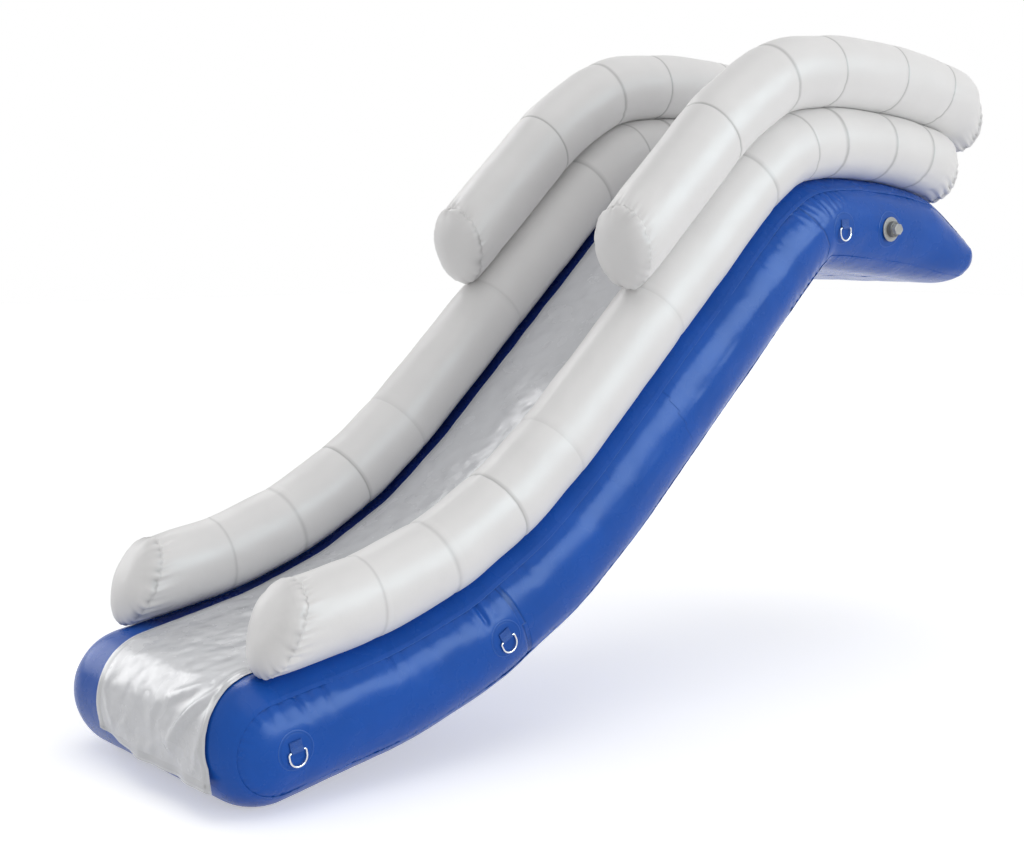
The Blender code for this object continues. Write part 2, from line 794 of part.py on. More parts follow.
def lashing(shop, place_name, distance, side, hand):
    """One lashing point: patch, strap and the D-ring that hangs in it."""
    anchor = Anchor(distance, side, RING_DROPS[place_name])
    patch(shop, f"ring_patch_{place_name}_{hand}", anchor, RING_PATCH_RADIUS)
    loop = RING_WIRE / 2 + RUN + STRAP
    bar = anchor.frame(CLEAR + PATCH + CLEAR + loop)
    upright = bar @ Matrix(((0, 0, -1, 0), (0, 1, 0, 0), (1, 0, 0, 0), (0, 0, 0, 1)))
    name = f"ring_strap_{place_name}_{hand}"
    outlines = [strap_outline(loop), circle(RING_WIRE / 2 + RUN)]
    shop.add(name, flat_plate(name, outlines, STRAP_WIDTH), "blue", upright)
    name = f"ring_{place_name}_{hand}"
    line = [(x, y, 0.0) for x, y in ring_line()]
    shop.add(name, wire(name, line, RING_WIRE / 2, closed=True), "steel", bar)


def washer_profile(outer, inner, low, high):
    """Closed profile of a plain ring."""
    return ((outer, high), (outer, low), (inner, low), (inner, high))


def spider_outlines(bore):
    """A round plate with windows between its arms, and a guide hole for the stem."""
    rim = bore - CLEAR
    outlines = [circle(rim, TURN_STEPS), circle(STEM_RADIUS + RUN)]
    half = math.radians(WINDOW_HALF_TURN)
    for arm in range(SPIDER_ARMS):
        middle = 2 * math.pi * arm / SPIDER_ARMS
        turns = np.linspace(middle - half, middle + half, WINDOW_STEPS)
        window = [(rim - SPIDER_RIM, turn) for turn in turns]
        window += [(SPIDER_HUB, turn) for turn in turns[::-1]]
        outlines.append([(r * math.cos(turn), r * math.sin(turn)) for r, turn in window])
    return outlines


def helix(radius, low, high, turns):
    """Points of a coil spring."""
    steps = turns * COIL_STEPS
    points = []
    for step in range(steps + 1):
        turn = 2 * math.pi * step / COIL_STEPS
        height = low + (high - low) * step / steps
        points.append((radius * math.cos(turn), radius * math.sin(turn), height))
    return points


def valve(shop, panel):
    """The inflation valve, from its inner nut to its six-sided cap grip, on the near side."""
    anchor = Anchor(VALVE_STATION, 1, VALVE_DROP)
    frame = anchor.frame()
    backing = patch(shop, "valve_patch", anchor, VALVE_PATCH_RADIUS)
    hole = shop.cutter("valve_hole", THROAT_RADIUS + RUN, 2 * THROAT_DEPTH, frame)
    join(backing, hole, "DIFFERENCE")
    join(panel, hole, "DIFFERENCE")
    seat = CLEAR + PATCH + CLEAR
    rim = FLANGE_RADIUS - GASKET_INSET
    seal = washer_profile(rim, THROAT_RADIUS + RUN, seat, seat + GASKET)
    spin(shop.add("valve_gasket", turned("valve_gasket", seal), "dark", frame))
    low = seat + GASKET + CLEAR
    high = low + FLANGE_HEIGHT
    collar = high + COLLAR_HEIGHT
    body = (
        (COLLAR_RADIUS, collar),
        (COLLAR_RADIUS, high),
        (FLANGE_RADIUS - FLANGE_EDGE, high),
        (FLANGE_RADIUS, high - FLANGE_EDGE),
        (FLANGE_RADIUS, low),
        (THROAT_RADIUS, low),
        (THROAT_RADIUS, -THROAT_DEPTH),
        (THROAT_BORE, -THROAT_DEPTH),
        (THROAT_BORE, collar),
    )
    spin(shop.add("valve_body", turned("valve_body", body), "grey", frame))
    under = -WALL - CLEAR
    nut = washer_profile(NUT_RADIUS, THROAT_RADIUS + RUN, under - NUT_HEIGHT, under)
    spin(shop.add("valve_nut", turned("valve_nut", nut), "grey", frame))
    guide = frame @ Matrix.Translation((0, 0, -SPIDER_DEPTH))
    plate = flat_plate("valve_spider", spider_outlines(THROAT_BORE), SPIDER_THICKNESS)
    shop.add("valve_spider", plate, "grey", guide)
    spring_low = -SPIDER_DEPTH + SPIDER_THICKNESS / 2 + CLEAR
    head = collar - STEM_HEAD_DEPTH
    spring_high = head - STEM_HEAD - CLEAR
    disc = (THROAT_RADIUS + THROAT_BORE) / 2 + DISC_LAP
    seat_low = -THROAT_DEPTH - CLEAR
    poppet = (
        (0.0, head),
        (STEM_HEAD_RADIUS, head),
        (STEM_HEAD_RADIUS, head - STEM_HEAD),
        (STEM_RADIUS, head - STEM_HEAD),
        (STEM_RADIUS, seat_low),
        (disc, seat_low),
        (disc, seat_low - DISC),
        (0.0, seat_low - DISC),
    )
    spin(shop.add("valve_poppet", turned("valve_poppet", poppet), "grey", frame))
    half = SPRING_WIRE / 2
    coil_radius = STEM_RADIUS + RUN + 3 * half
    coil = helix(coil_radius, spring_low + half, spring_high - half, SPRING_TURN_COUNT)
    spring = wire("valve_spring", coil, half, closed=False)
    shop.add("valve_spring", spring, "steel", frame)
    washer_low = collar + CLEAR
    washer = washer_profile(COLLAR_RADIUS, THROAT_BORE, washer_low, washer_low + WASHER)
    piece = shop.add("cap_washer", turned("cap_washer", washer), "dark", frame)
    spin(piece)
    ceiling = washer_low + WASHER + CLEAR
    roof = ceiling + CAP_TOP
    cap = (
        (0.0, roof),
        (CAP_RADIUS - CAP_EDGE, roof),
        (CAP_RADIUS, roof - CAP_EDGE),
        (CAP_RADIUS, high + 2 * CLEAR),
        (COLLAR_RADIUS + RUN, high + 2 * CLEAR),
        (COLLAR_RADIUS + RUN, ceiling),
        (0.0, ceiling),
    )
    lid = shop.add("valve_cap", turned("valve_cap", cap), "grey", frame)
    spin(lid)
    tip, flank = GRIP_LENGTH / 2, GRIP_WIDTH / 2
    shoulder = tip * GRIP_END
    outline = (
        (-tip, 0.0),
        (-shoulder, -flank),
        (shoulder, -flank),
        (tip, 0.0),
        (shoulder, flank),
        (-shoulder, flank),
    )
    grip_curve = flat_plate("valve_grip", [outline], GRIP_HEIGHT + CAP_TOP / 2)
    grip_frame = frame @ Matrix.Translation((0, 0, roof + GRIP_HEIGHT / 2 - CAP_TOP / 4))
    join(lid, mesh_tool(shop, "valve_grip", grip_curve, grip_frame), "UNION")


def mesh_tool(shop, name, curve, matrix):
    """A curve turned into a welded mesh, kept with the cutters for a Boolean."""
    maker = bpy.data.objects.new(name, curve)
    shop.cutters.objects.link(maker)
    maker.matrix_world = matrix
    graph = bpy.context.evaluated_depsgraph_get()
    mesh = bpy.data.meshes.new_from_object(maker.evaluated_get(graph))
    bpy.data.objects.remove(maker)
    shape = bmesh.new()
    shape.from_mesh(mesh)
    bmesh.ops.remove_doubles(shape, verts=shape.verts, dist=0.00001)
    shape.to_mesh(mesh)
    shape.free()
    tool = bpy.data.objects.new(name, mesh)
    tool.matrix_world = matrix
    tool.hide_render = True
    tool.display_type = "WIRE"
    shop.cutters.objects.link(tool)
    return tool


def main():
    """Build every piece of the slide."""
    shop = Workshop()
    base = wrap_panel(shop)
    sides = {}
    for hand, side in HANDS.items():
        sides[hand] = side_panel(shop, f"base_side_panel_{hand}", side)
    webs(shop)
    for hand, side in HANDS.items():
        lower, tubes = rails(shop, side, hand)
        air_sleeves(shop, side, hand, lower, tubes, base)
        for place_name, distance in RING_STATIONS.items():
            lashing(shop, place_name, distance, side, hand)
    slide_sheet(shop)
    valve(shop, sides["right"])


main()
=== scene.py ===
"""Inflatable yacht slide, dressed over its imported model.

The chambers are welded from coated fabric, so each one is a softened skin with its own seams,
laps and puckers. Metres, +Z up, +Y from the water end to the boat, X across.
"""

import logging
import math
from collections.abc import Callable, Sequence
from dataclasses import dataclass, field
from enum import Enum

import bmesh
import bpy
import numpy as np
from mathutils import Matrix, Vector


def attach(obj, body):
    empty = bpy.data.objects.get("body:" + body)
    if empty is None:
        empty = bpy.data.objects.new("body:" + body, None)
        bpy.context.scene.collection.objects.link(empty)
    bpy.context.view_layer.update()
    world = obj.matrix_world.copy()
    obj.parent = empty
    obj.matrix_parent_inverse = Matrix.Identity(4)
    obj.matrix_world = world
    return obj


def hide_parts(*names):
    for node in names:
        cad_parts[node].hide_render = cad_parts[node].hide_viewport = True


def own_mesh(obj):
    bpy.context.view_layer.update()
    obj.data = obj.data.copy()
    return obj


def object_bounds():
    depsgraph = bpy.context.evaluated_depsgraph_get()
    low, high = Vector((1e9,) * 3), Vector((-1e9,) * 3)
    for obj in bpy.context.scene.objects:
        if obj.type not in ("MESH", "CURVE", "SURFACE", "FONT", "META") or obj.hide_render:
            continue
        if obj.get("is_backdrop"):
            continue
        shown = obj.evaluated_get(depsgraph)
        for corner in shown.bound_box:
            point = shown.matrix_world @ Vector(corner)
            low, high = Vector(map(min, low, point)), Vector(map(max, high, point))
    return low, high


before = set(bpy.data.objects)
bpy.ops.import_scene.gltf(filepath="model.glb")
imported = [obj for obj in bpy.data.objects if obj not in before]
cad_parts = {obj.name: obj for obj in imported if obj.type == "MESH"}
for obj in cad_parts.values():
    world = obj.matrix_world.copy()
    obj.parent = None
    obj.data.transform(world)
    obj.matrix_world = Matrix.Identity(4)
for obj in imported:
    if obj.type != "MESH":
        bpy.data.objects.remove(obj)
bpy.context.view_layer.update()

LOG = logging.getLogger("yacht_slide")
Array = np.ndarray
Color = tuple[float, float, float]
Point2 = tuple[float, float]
Point3 = tuple[float, float, float]
Socket = bpy.types.NodeSocket
Material = bpy.types.Material

BODY = "slide"
# Spacing of the fabric's threads and of the webbing's ribs, and the wave texture's scale for 1 m.
WEAVE = 0.0012
RIB = 0.0011
WAVE_SCALE = 0.314


class Hand(Enum):
    """The two sides of the slide."""

    LEFT = -1
    RIGHT = 1

    @property
    def label(self) -> str:
        """The side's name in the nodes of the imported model."""
        return self.name.lower()


class Level(Enum):
    """The two rails of a side."""

    LOWER = "lower"
    UPPER = "upper"


class Slot(Enum):
    """Names of the record's material slots; no new piece here is given one."""

    BLUE = "blue_fabric"
    WHITE = "white_fabric"
    SHEET = "sheet"
    STEEL = "steel"
    PLASTIC = "valve_plastic"


# Small geometry


def along(slope: float) -> Array:
    """Unit vector in (y, z) along a slope in radians."""
    return np.array((math.cos(slope), math.sin(slope)))


def upward(slope: float) -> Array:
    """Unit vector in (y, z) square to a slope, on its upper side."""
    return np.array((-math.sin(slope), math.cos(slope)))


def meet(point_a: Array, dir_a: Array, point_b: Array, dir_b: Array) -> Array:
    """Find where two lines in (y, z) cross.

    Args:
        point_a: A point of the first line.
        dir_a: The first line's direction.
        point_b: A point of the second line.
        dir_b: The second line's direction.

    Returns:
        The crossing point.
    """
    run = np.linalg.solve(np.column_stack((dir_a, -dir_b)), point_b - point_a)
    return point_a + dir_a * run[0]


def units(vectors: Array) -> Array:
    """Vectors of the last axis, each scaled to length 1."""
    return vectors / np.maximum(np.linalg.norm(vectors, axis=-1, keepdims=True), 1e-12)


def bell(distance: Array, width: float) -> Array:
    """A smooth bump of height 1 and a given half width."""
    return np.exp(-((distance / width) ** 2))


def round_turns(count: int) -> Array:
    """Evenly spaced angles once round, without the last."""
    return np.linspace(0, 2 * math.pi, count, endpoint=False)


def turn_gap(turns: Array, turn: float) -> Array:
    """Angles from one turn to others, from minus to plus half a turn."""
    return (turns - turn + math.pi) % (2 * math.pi) - math.pi


def smooth_step(value: Array, low: float, high: float) -> Array:
    """Rise from 0 to 1 between two values, level at both ends."""
    share = np.clip((value - low) / (high - low), 0.0, 1.0)
    return share * share * (3 - 2 * share)


def plateau(value: Array, rise: Point2, fall: Point2) -> Array:
    """A stretch of height 1 between a smooth rise and a smooth fall."""
    return smooth_step(value, *rise) * (1 - smooth_step(value, *fall))


def chain_weights(places: Array, lengths: Sequence[float], soft: Sequence[float]) -> Array:
    """Weights of a chain's control points at places along it, with its inner corners rounded.

    Args:
        places: Where to evaluate, in control points from the chain's start.
        lengths: Length of each span, in metres.
        soft: How far from each control point its rounding begins, in metres.

    Returns:
        One row of weights for each place.
    """
    count = len(lengths) + 1
    weights = np.zeros((len(places), count))
    for row, place in enumerate(places):
        corner = int(round(place))
        first = min(int(place), count - 2)
        inner = 0 < corner < count - 1
        before = min(soft[corner] / lengths[corner - 1], 0.45) if inner else 0.0
        after = min(soft[corner] / lengths[corner], 0.45) if inner else 0.0
        if inner and corner - before < place < corner + after:
            turn = (place - corner + before) / (before + after)
            weights[row, corner - 1] = (1 - turn) ** 2 * before
            weights[row, corner + 1] = turn**2 * after
            weights[row, corner] = 1 - weights[row].sum()
        else:
            weights[row, first] = 1 - (place - first)
            weights[row, first + 1] = place - first
    return weights


# Distances from a seam at which its skin gets a row of points.
NEAR_SEAM = (0.0, 0.002, 0.004, 0.0065, 0.010, 0.015, 0.021, 0.028, 0.038, 0.050)


def gore_places(lengths: Sequence[float], spacing: float, fine: Sequence[tuple] = ()) -> Array:
    """Places along a chain, close together beside its corners.

    Args:
        lengths: Length of each span, in metres.
        spacing: Spacing away from the corners, in metres.
        fine: Stretches with a closer spacing: first metre, last metre, spacing.

    Returns:
        Places in control points, rising, with both ends.
    """
    places = []
    start = 0.0
    for index, length in enumerate(lengths):
        near = [offset for offset in NEAR_SEAM if offset < length * 0.45]
        offset = near[-1]
        middle = []
        while offset < length - near[-1]:
            at = start + offset
            step = min([spacing, *[s for low, high, s in fine if low <= at <= high]])
            offset += step
            if offset < length - near[-1] - 0.4 * step:
                middle.append(offset)
        offsets = [*near, *middle, *[length - step for step in near[:0:-1]]]
        places += [index + step / length for step in offsets]
        start += length
    return np.array([*places, float(len(lengths))])


@dataclass(frozen=True)
class Undulation:
    """Gentle unevenness of a fabric skin, made of plane waves."""

    seed: int
    height: float
    shortest: float = 0.06
    longest: float = 0.30
    waves: int = 14

    def at(self, points: Array) -> Array:
        """Height of the waves at some points.

        Args:
            points: Places, with x, y, z on the last axis.

        Returns:
            Offsets along the normal, in metres.
        """
        chance = np.random.default_rng(self.seed)
        total = np.zeros(points.shape[:-1])
        power = 0.0
        for _ in range(self.waves):
            way = chance.normal(size=3)
            way /= np.linalg.norm(way)
            length = math.exp(chance.uniform(math.log(self.shortest), math.log(self.longest)))
            phase = chance.uniform(0, 2 * math.pi)
            total += np.sin(points @ way * (2 * math.pi / length) + phase) * length
            power += length**2 / 2
        return total * (self.height / math.sqrt(power))


@dataclass(frozen=True)
class Pucker:
    """One dent of a skin that starts at a weld: station, length, width, depth, lean."""

    station: float
    length: float
    width: float
    depth: float
    lean: float = 0.0

    def at(self, stations: Array, down: Array) -> Array:
        """Depth of the dent.

        Args:
            stations: Distance along the weld.
            down: Distance away from the weld.

        Returns:
            Inward offset, in metres.
        """
        share = down / self.length
        fade = np.clip(share * 6 + 1, 0, 1) * np.clip(1 - share, 0, 1) ** 1.2
        wide = self.width * (1 + 0.6 * np.clip(share, 0, 1))
        return fade * self.depth * bell(stations - (self.station + self.lean * down), wide)


@dataclass(frozen=True)
class PuckerRow:
    """A row of small dents along a weld, from first to stop along the outline.

    Depth and length are a least value and what chance adds. Shift and lean are how far chance
    moves and leans a dent, and share is how many of the dents are there.
    """

    first: float
    stop: float
    step: float
    depth: Point2
    length: Point2
    width: float
    shift: float
    lean: float = 0.0
    share: float = 1.0

    def draw(self, chance: np.random.Generator) -> list[Pucker]:
        """Draw the row's dents.

        Args:
            chance: Source of the random draws.

        Returns:
            The dents.
        """
        dents = []
        for station in np.arange(self.first, self.stop, self.step):
            if self.share < 1 and chance.random() >= self.share:
                continue
            depth = self.depth[0] + self.depth[1] * chance.random()
            length = self.length[0] + (self.length[1] * chance.random() if self.length[1] else 0.0)
            shift = chance.uniform(-self.shift, self.shift)
            lean = chance.uniform(-self.lean, self.lean) if self.lean else 0.0
            dents.append(Pucker(station + shift, length, self.width, depth, lean))
        return dents


@dataclass
class SkinMesh:
    """Collects grids of points into one mesh."""

    name: str
    points: list[Array] = field(default_factory=list)
    faces: list[Array] = field(default_factory=list)
    marks: list[Array] = field(default_factory=list)
    lines: Array | None = None
    count: int = 0

    def grid(
        self, rows: Array, closed: bool = False, ring: bool = False, marks: Array | None = None
    ) -> None:
        """Add a grid of quads.

        Args:
            rows: Points, indexed by row and column.
            closed: Whether the last column joins the first.
            ring: Whether the last row joins the first.
            marks: Tone of each point, 0 for plain: dark as a seam at 1 (partly dirt, partly painted
            shade), painted shade of a strip in shadow at 2, pale at -1 (partly the fabric's lighter
            core, partly a painted highlight).
        """
        height, width = rows.shape[:2]
        index = np.arange(height * width).reshape(height, width) + self.count
        if closed:
            index = np.concatenate((index, index[:, :1]), axis=1)
        if ring:
            index = np.concatenate((index, index[:1]), axis=0)
        quads = np.stack((index[:-1, :-1], index[:-1, 1:], index[1:, 1:], index[1:, :-1]), -1)
        self.points.append(rows.reshape(-1, 3))
        self.faces.append(quads.reshape(-1, 4))
        self.marks.append(np.zeros(height * width) if marks is None else marks.reshape(-1))
        self.count += height * width

    def build(self, weld: float = 0.0, sharp: float | None = None) -> bpy.types.Mesh:
        """Make the mesh.

        Args:
            weld: Distance within which points are joined, or 0.
            sharp: Angle in degrees above which an edge stays sharp.

        Returns:
            The new mesh, smooth shaded.
        """
        mesh = bpy.data.meshes.new(self.name)
        points = np.concatenate(self.points)
        faces = np.concatenate(self.faces)
        mesh.from_pydata(points.tolist(), [], faces.tolist())
        seam = mesh.attributes.new("seam", "FLOAT", "POINT")
        seam.data.foreach_set("value", np.concatenate(self.marks).astype(np.float32))
        if self.lines is not None:
            cross = mesh.attributes.new("cross", "FLOAT", "POINT")
            cross.data.foreach_set("value", self.lines.ravel().astype(np.float32))
        shape = bmesh.new()
        shape.from_mesh(mesh)
        if weld:
            bmesh.ops.remove_doubles(shape, verts=shape.verts, dist=weld)
        bmesh.ops.recalc_face_normals(shape, faces=shape.faces)
        shape.to_mesh(mesh)
        shape.free()
        mesh.shade_smooth()
        if sharp is not None:
            mesh.set_sharp_from_angle(angle=math.radians(sharp))
        return mesh


def place_piece(
    mesh: bpy.types.Mesh,
    material: Material,
    nodes: Sequence[str] = (),
    body: str = BODY,
    matrix: Matrix | None = None,
) -> bpy.types.Object:
    """Put a finished mesh in the scene and let it ride.

    Args:
        mesh: The piece's mesh, whose name the piece takes.
        material: Its finish.
        nodes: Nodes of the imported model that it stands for.
        body: The body that it rides on.
        matrix: Its place, or None for a mesh that is already in place.

    Returns:
        The new object.
    """
    piece = bpy.data.objects.new(mesh.name, mesh)
    if not mesh.materials:
        mesh.materials.append(material)
    if matrix is not None:
        mesh.transform(matrix)
    bpy.context.scene.collection.objects.link(piece)
    if nodes:
        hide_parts(*nodes)
    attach(piece, body)
    return piece


# Finishes


@dataclass
class Board:
    """A material's node board."""

    name: str

    def __post_init__(self) -> None:
        """Start the material with its shader."""
        self.material = bpy.data.materials.new(self.name)
        self.material.use_nodes = True
        self.tree = self.material.node_tree
        self.shader = self.tree.nodes["Principled BSDF"]
        self.place = self.add("ShaderNodeTexCoord").outputs["Object"]

    def add(self, kind: str, inputs: dict | None = None, **settings: object) -> bpy.types.Node:
        """Add a node.

        Args:
            kind: The node's type.
            inputs: Values or sockets for its inputs, by name or number.
            settings: The node's own settings.

        Returns:
            The node.
        """
        node = self.tree.nodes.new(kind)
        for key, value in settings.items():
            setattr(node, key, value)
        for key, value in (inputs or {}).items():
            if isinstance(value, Socket):
                self.tree.links.new(value, node.inputs[key])
            else:
                node.inputs[key].default_value = value
        return node

    def noise(self, scale: float, detail: float = 2.0, rough: float = 0.5) -> Socket:
        """A noise of a given scale over the object, from 0 to 1."""
        sizes = {"Vector": self.place, "Scale": scale, "Detail": detail, "Roughness": rough}
        return self.add("ShaderNodeTexNoise", sizes).outputs["Fac"]

    def math(self, operation: str, first: object, second: object) -> Socket:
        """A sum on two values or sockets."""
        return self.add("ShaderNodeMath", {0: first, 1: second}, operation=operation).outputs[0]

    def remap(self, source: Socket, low: float, high: float, to: Point2) -> Socket:
        """Map a range of a socket's values to another range.

        Args:
            source: The socket.
            low: Value that gives the first of the new range.
            high: Value that gives the second.
            to: The new range.

        Returns:
            The mapped socket.
        """
        sizes = {"Value": source, "From Min": low, "From Max": high}
        sizes |= {"To Min": to[0], "To Max": to[1]}
        return self.add("ShaderNodeMapRange", sizes).outputs["Result"]

    def blend(self, share: Socket, first: object, second: object) -> Socket:
        """Mix two colours by a share.

        Args:
            share: Share of the second colour.
            first: Colour or socket at a share of 0.
            second: Colour or socket at a share of 1.

        Returns:
            The mixed colour.
        """
        node = self.add("ShaderNodeMix", {"Factor": share}, data_type="RGBA")
        for socket, value in ((node.inputs["A"], first), (node.inputs["B"], second)):
            if isinstance(value, Socket):
                self.tree.links.new(value, socket)
            else:
                socket.default_value = (*value, 1.0)
        return node.outputs["Result"]

    def bump(
        self, height: Socket, strength: float, depth: float, under: object = None
    ) -> Socket:
        """Bump from a height, over another bump.

        Args:
            height: Height from 0 to 1.
            strength: Strength from 0 to 1.
            depth: Depth in metres.
            under: The normal that it is added to, or None.

        Returns:
            The new normal.
        """
        sizes = {"Height": height, "Strength": strength, "Distance": depth}
        if under is not None:
            sizes["Normal"] = under
        return self.add("ShaderNodeBump", sizes).outputs["Normal"]

    def finish(self, **inputs: object) -> Material:
        """Set the shader's inputs and hand over the material.

        Args:
            inputs: Values or sockets by the input's name, with _ for a space.

        Returns:
            The material.
        """
        for key, value in inputs.items():
            socket = self.shader.inputs[key.replace("_", " ")]
            if isinstance(value, Socket):
                self.tree.links.new(value, socket)
            else:
                socket.default_value = (*value, 1.0) if isinstance(value, tuple) else value
        return self.material


def shaded(color: Color, share: float) -> Color:
    """A colour made darker or lighter by a share."""
    return tuple(min(1.0, value * share) for value in color)


@dataclass(frozen=True)
class CoatedFabric:
    """Plastic-coated fabric: a smooth skin with the base cloth's weave printing through.

    The mesh's seam marks fade its colour to seam_tone on seams, partly dirt in the welds and partly
    painted shade in their grooves; to pale on cut edges, partly the fabric's lighter core and
    partly a painted highlight; and to crease, a painted shade for a strip of fabric in shadow. Its
    cross marks draw a fine weld line.
    """

    color: Color
    roughness: float = 0.30
    specular: float = 0.5
    coat: float = 0.25
    crumple: float = 0.0012
    print_through: float = 0.10
    mottle: float = 0.05
    # seam_tone: darker seams, partly dirt in the welds and partly painted shade in their grooves.
    seam_tone: float = 0.72
    ripple: float = 0.0
    # pale: cut edges, partly the fabric's lighter core and partly a painted highlight.
    pale: Color = (0.10, 0.22, 0.60)
    # crease: painted shade, dark navy for a strip of fabric in shadow.
    crease: Color = (0.004, 0.008, 0.120)

    def material(self, name: str) -> Material:
        """Build the finish.

        Args:
            name: The material's name.

        Returns:
            The material.
        """
        board = Board(name)
        patches = board.noise(5.0, 3.0)
        dark = shaded(self.color, 1 - self.mottle)
        light = shaded(self.color, 1 + self.mottle)
        tone = board.blend(board.remap(patches, 0.35, 0.65, (0.0, 1.0)), dark, light)
        seam = board.add("ShaderNodeAttribute", attribute_name="seam").outputs["Fac"]
        scuffs = board.remap(board.noise(38.0, 4.0, 0.62), 0.62, 0.78, (0.0, 0.35))
        # Painted tone from the seam marks: darker seams (partly dirt, partly painted shade), pale
        # edges (partly lighter core, partly painted highlight) and painted shade on strips in
        # shadow.
        for low, high, share, color in (
            (0.0, 1.0, 0.70, shaded(self.color, self.seam_tone)),
            (0.0, -1.0, 0.60, self.pale),
            (1.0, 2.0, 0.80, self.crease),
        ):
            tone = board.blend(board.remap(seam, low, high, (0.0, share)), tone, color)
        tone = board.blend(board.math("MULTIPLY", scuffs, 0.25), tone, shaded(self.color, 0.86))
        cross = board.add("ShaderNodeAttribute", attribute_name="cross").outputs["Fac"]
        gap = board.math("ABSOLUTE", board.math("SUBTRACT", cross, 1.0), 0.0)
        line = board.remap(gap, 0.0040, 0.0008, (0.0, 1.0))
        tone = board.blend(board.math("MULTIPLY", line, 0.55), tone, shaded(self.color, 0.45))
        rough = (self.roughness * 0.86, self.roughness * 1.14)
        gloss = board.remap(board.noise(9.0, 3.0), 0.3, 0.7, rough)
        gloss = board.math("ADD", gloss, board.math("MULTIPLY", scuffs, 0.18))
        soft = board.bump(board.noise(7.0, 2.0), 0.55, self.crumple * 6)
        if self.ripple:
            ridges = board.remap(board.noise(13.0, 1.0, 0.4), 0.30, 0.72, (0.0, 1.0))
            soft = board.bump(ridges, 0.6, self.ripple, soft)
        peel = board.bump(board.noise(120.0, 2.0), 0.25, 0.0006, soft)
        weave = board.math("MAXIMUM", self._threads(board, "X"), self._threads(board, "Z"))
        fine = board.bump(weave, self.print_through, 0.0002, peel)
        fine = board.bump(board.remap(gap, 0.0, 0.0075, (0.0, 1.0)), 0.8, 0.0022, fine)
        return board.finish(
            Base_Color=tone,
            Roughness=gloss,
            Specular_IOR_Level=self.specular,
            Coat_Weight=self.coat,
            Coat_Roughness=0.12,
            Normal=fine,
        )

    @staticmethod
    def _threads(board: Board, axis: str) -> Socket:
        """One set of the cloth's threads.

        Args:
            board: The material's board.
            axis: The axis along which the threads follow each other.

        Returns:
            Height of the threads, from 0 to 1.
        """
        sizes = {"Vector": board.place, "Scale": WAVE_SCALE / WEAVE, "Distortion": 0.6}
        sizes["Detail"] = 1.0
        return board.add("ShaderNodeTexWave", sizes, bands_direction=axis).outputs["Fac"]


@dataclass(frozen=True)
class Webbing:
    """Woven strap with ribs across it."""

    color: Color
    roughness: float = 0.62

    def material(self, name: str) -> Material:
        """Build the finish.

        Args:
            name: The material's name.

        Returns:
            The material.
        """
        board = Board(name)
        sizes = {"Vector": board.place, "Scale": WAVE_SCALE / RIB, "Distortion": 0.4}
        ribs = board.add("ShaderNodeTexWave", sizes, bands_direction="DIAGONAL").outputs["Fac"]
        tone = board.blend(ribs, shaded(self.color, 0.80), shaded(self.color, 1.12))
        worn = board.remap(board.noise(60.0, 3.0), 0.45, 0.75, (0.0, 0.30))
        tone = board.blend(worn, tone, shaded(self.color, 1.35))
        rough = (self.roughness - 0.06, self.roughness + 0.06)
        rough = board.remap(board.noise(90.0), 0.3, 0.7, rough)
        return board.finish(Base_Color=tone, Roughness=rough, Normal=board.bump(ribs, 0.6, 0.0004))


@dataclass(frozen=True)
class PolishedSteel:
    """Polished stainless wire with fine marks."""

    color: Color = (0.78, 0.79, 0.80)
    roughness: float = 0.16

    def material(self, name: str) -> Material:
        """Build the finish.

        Args:
            name: The material's name.

        Returns:
            The material.
        """
        board = Board(name)
        stain = board.remap(board.noise(140.0, 4.0), 0.40, 0.70, (0.0, 1.0))
        tone = board.blend(stain, self.color, shaded(self.color, 0.86))
        rough = (self.roughness * 0.7, self.roughness * 1.6)
        rough = board.remap(board.noise(420.0, 3.0), 0.3, 0.7, rough)
        marks = board.bump(board.noise(900.0, 2.0), 0.12, 0.0001)
        return board.finish(Base_Color=tone, Metallic=1.0, Roughness=rough, Normal=marks)


@dataclass(frozen=True)
class MouldedPlastic:
    """Moulded plastic with a fine spark-eroded grain."""

    color: Color
    roughness: float = 0.42
    grain: float = 0.18

    def material(self, name: str) -> Material:
        """Build the finish.

        Args:
            name: The material's name.

        Returns:
            The material.
        """
        board = Board(name)
        flow = board.remap(board.noise(30.0, 3.0), 0.35, 0.65, (0.0, 1.0))
        tone = board.blend(flow, shaded(self.color, 0.93), shaded(self.color, 1.07))
        rough = (self.roughness - 0.06, self.roughness + 0.08)
        rough = board.remap(board.noise(70.0, 3.0), 0.3, 0.7, rough)
        grain = board.bump(board.noise(1600.0, 2.0), self.grain, 0.0002)
        return board.finish(Base_Color=tone, Roughness=rough, Normal=grain)


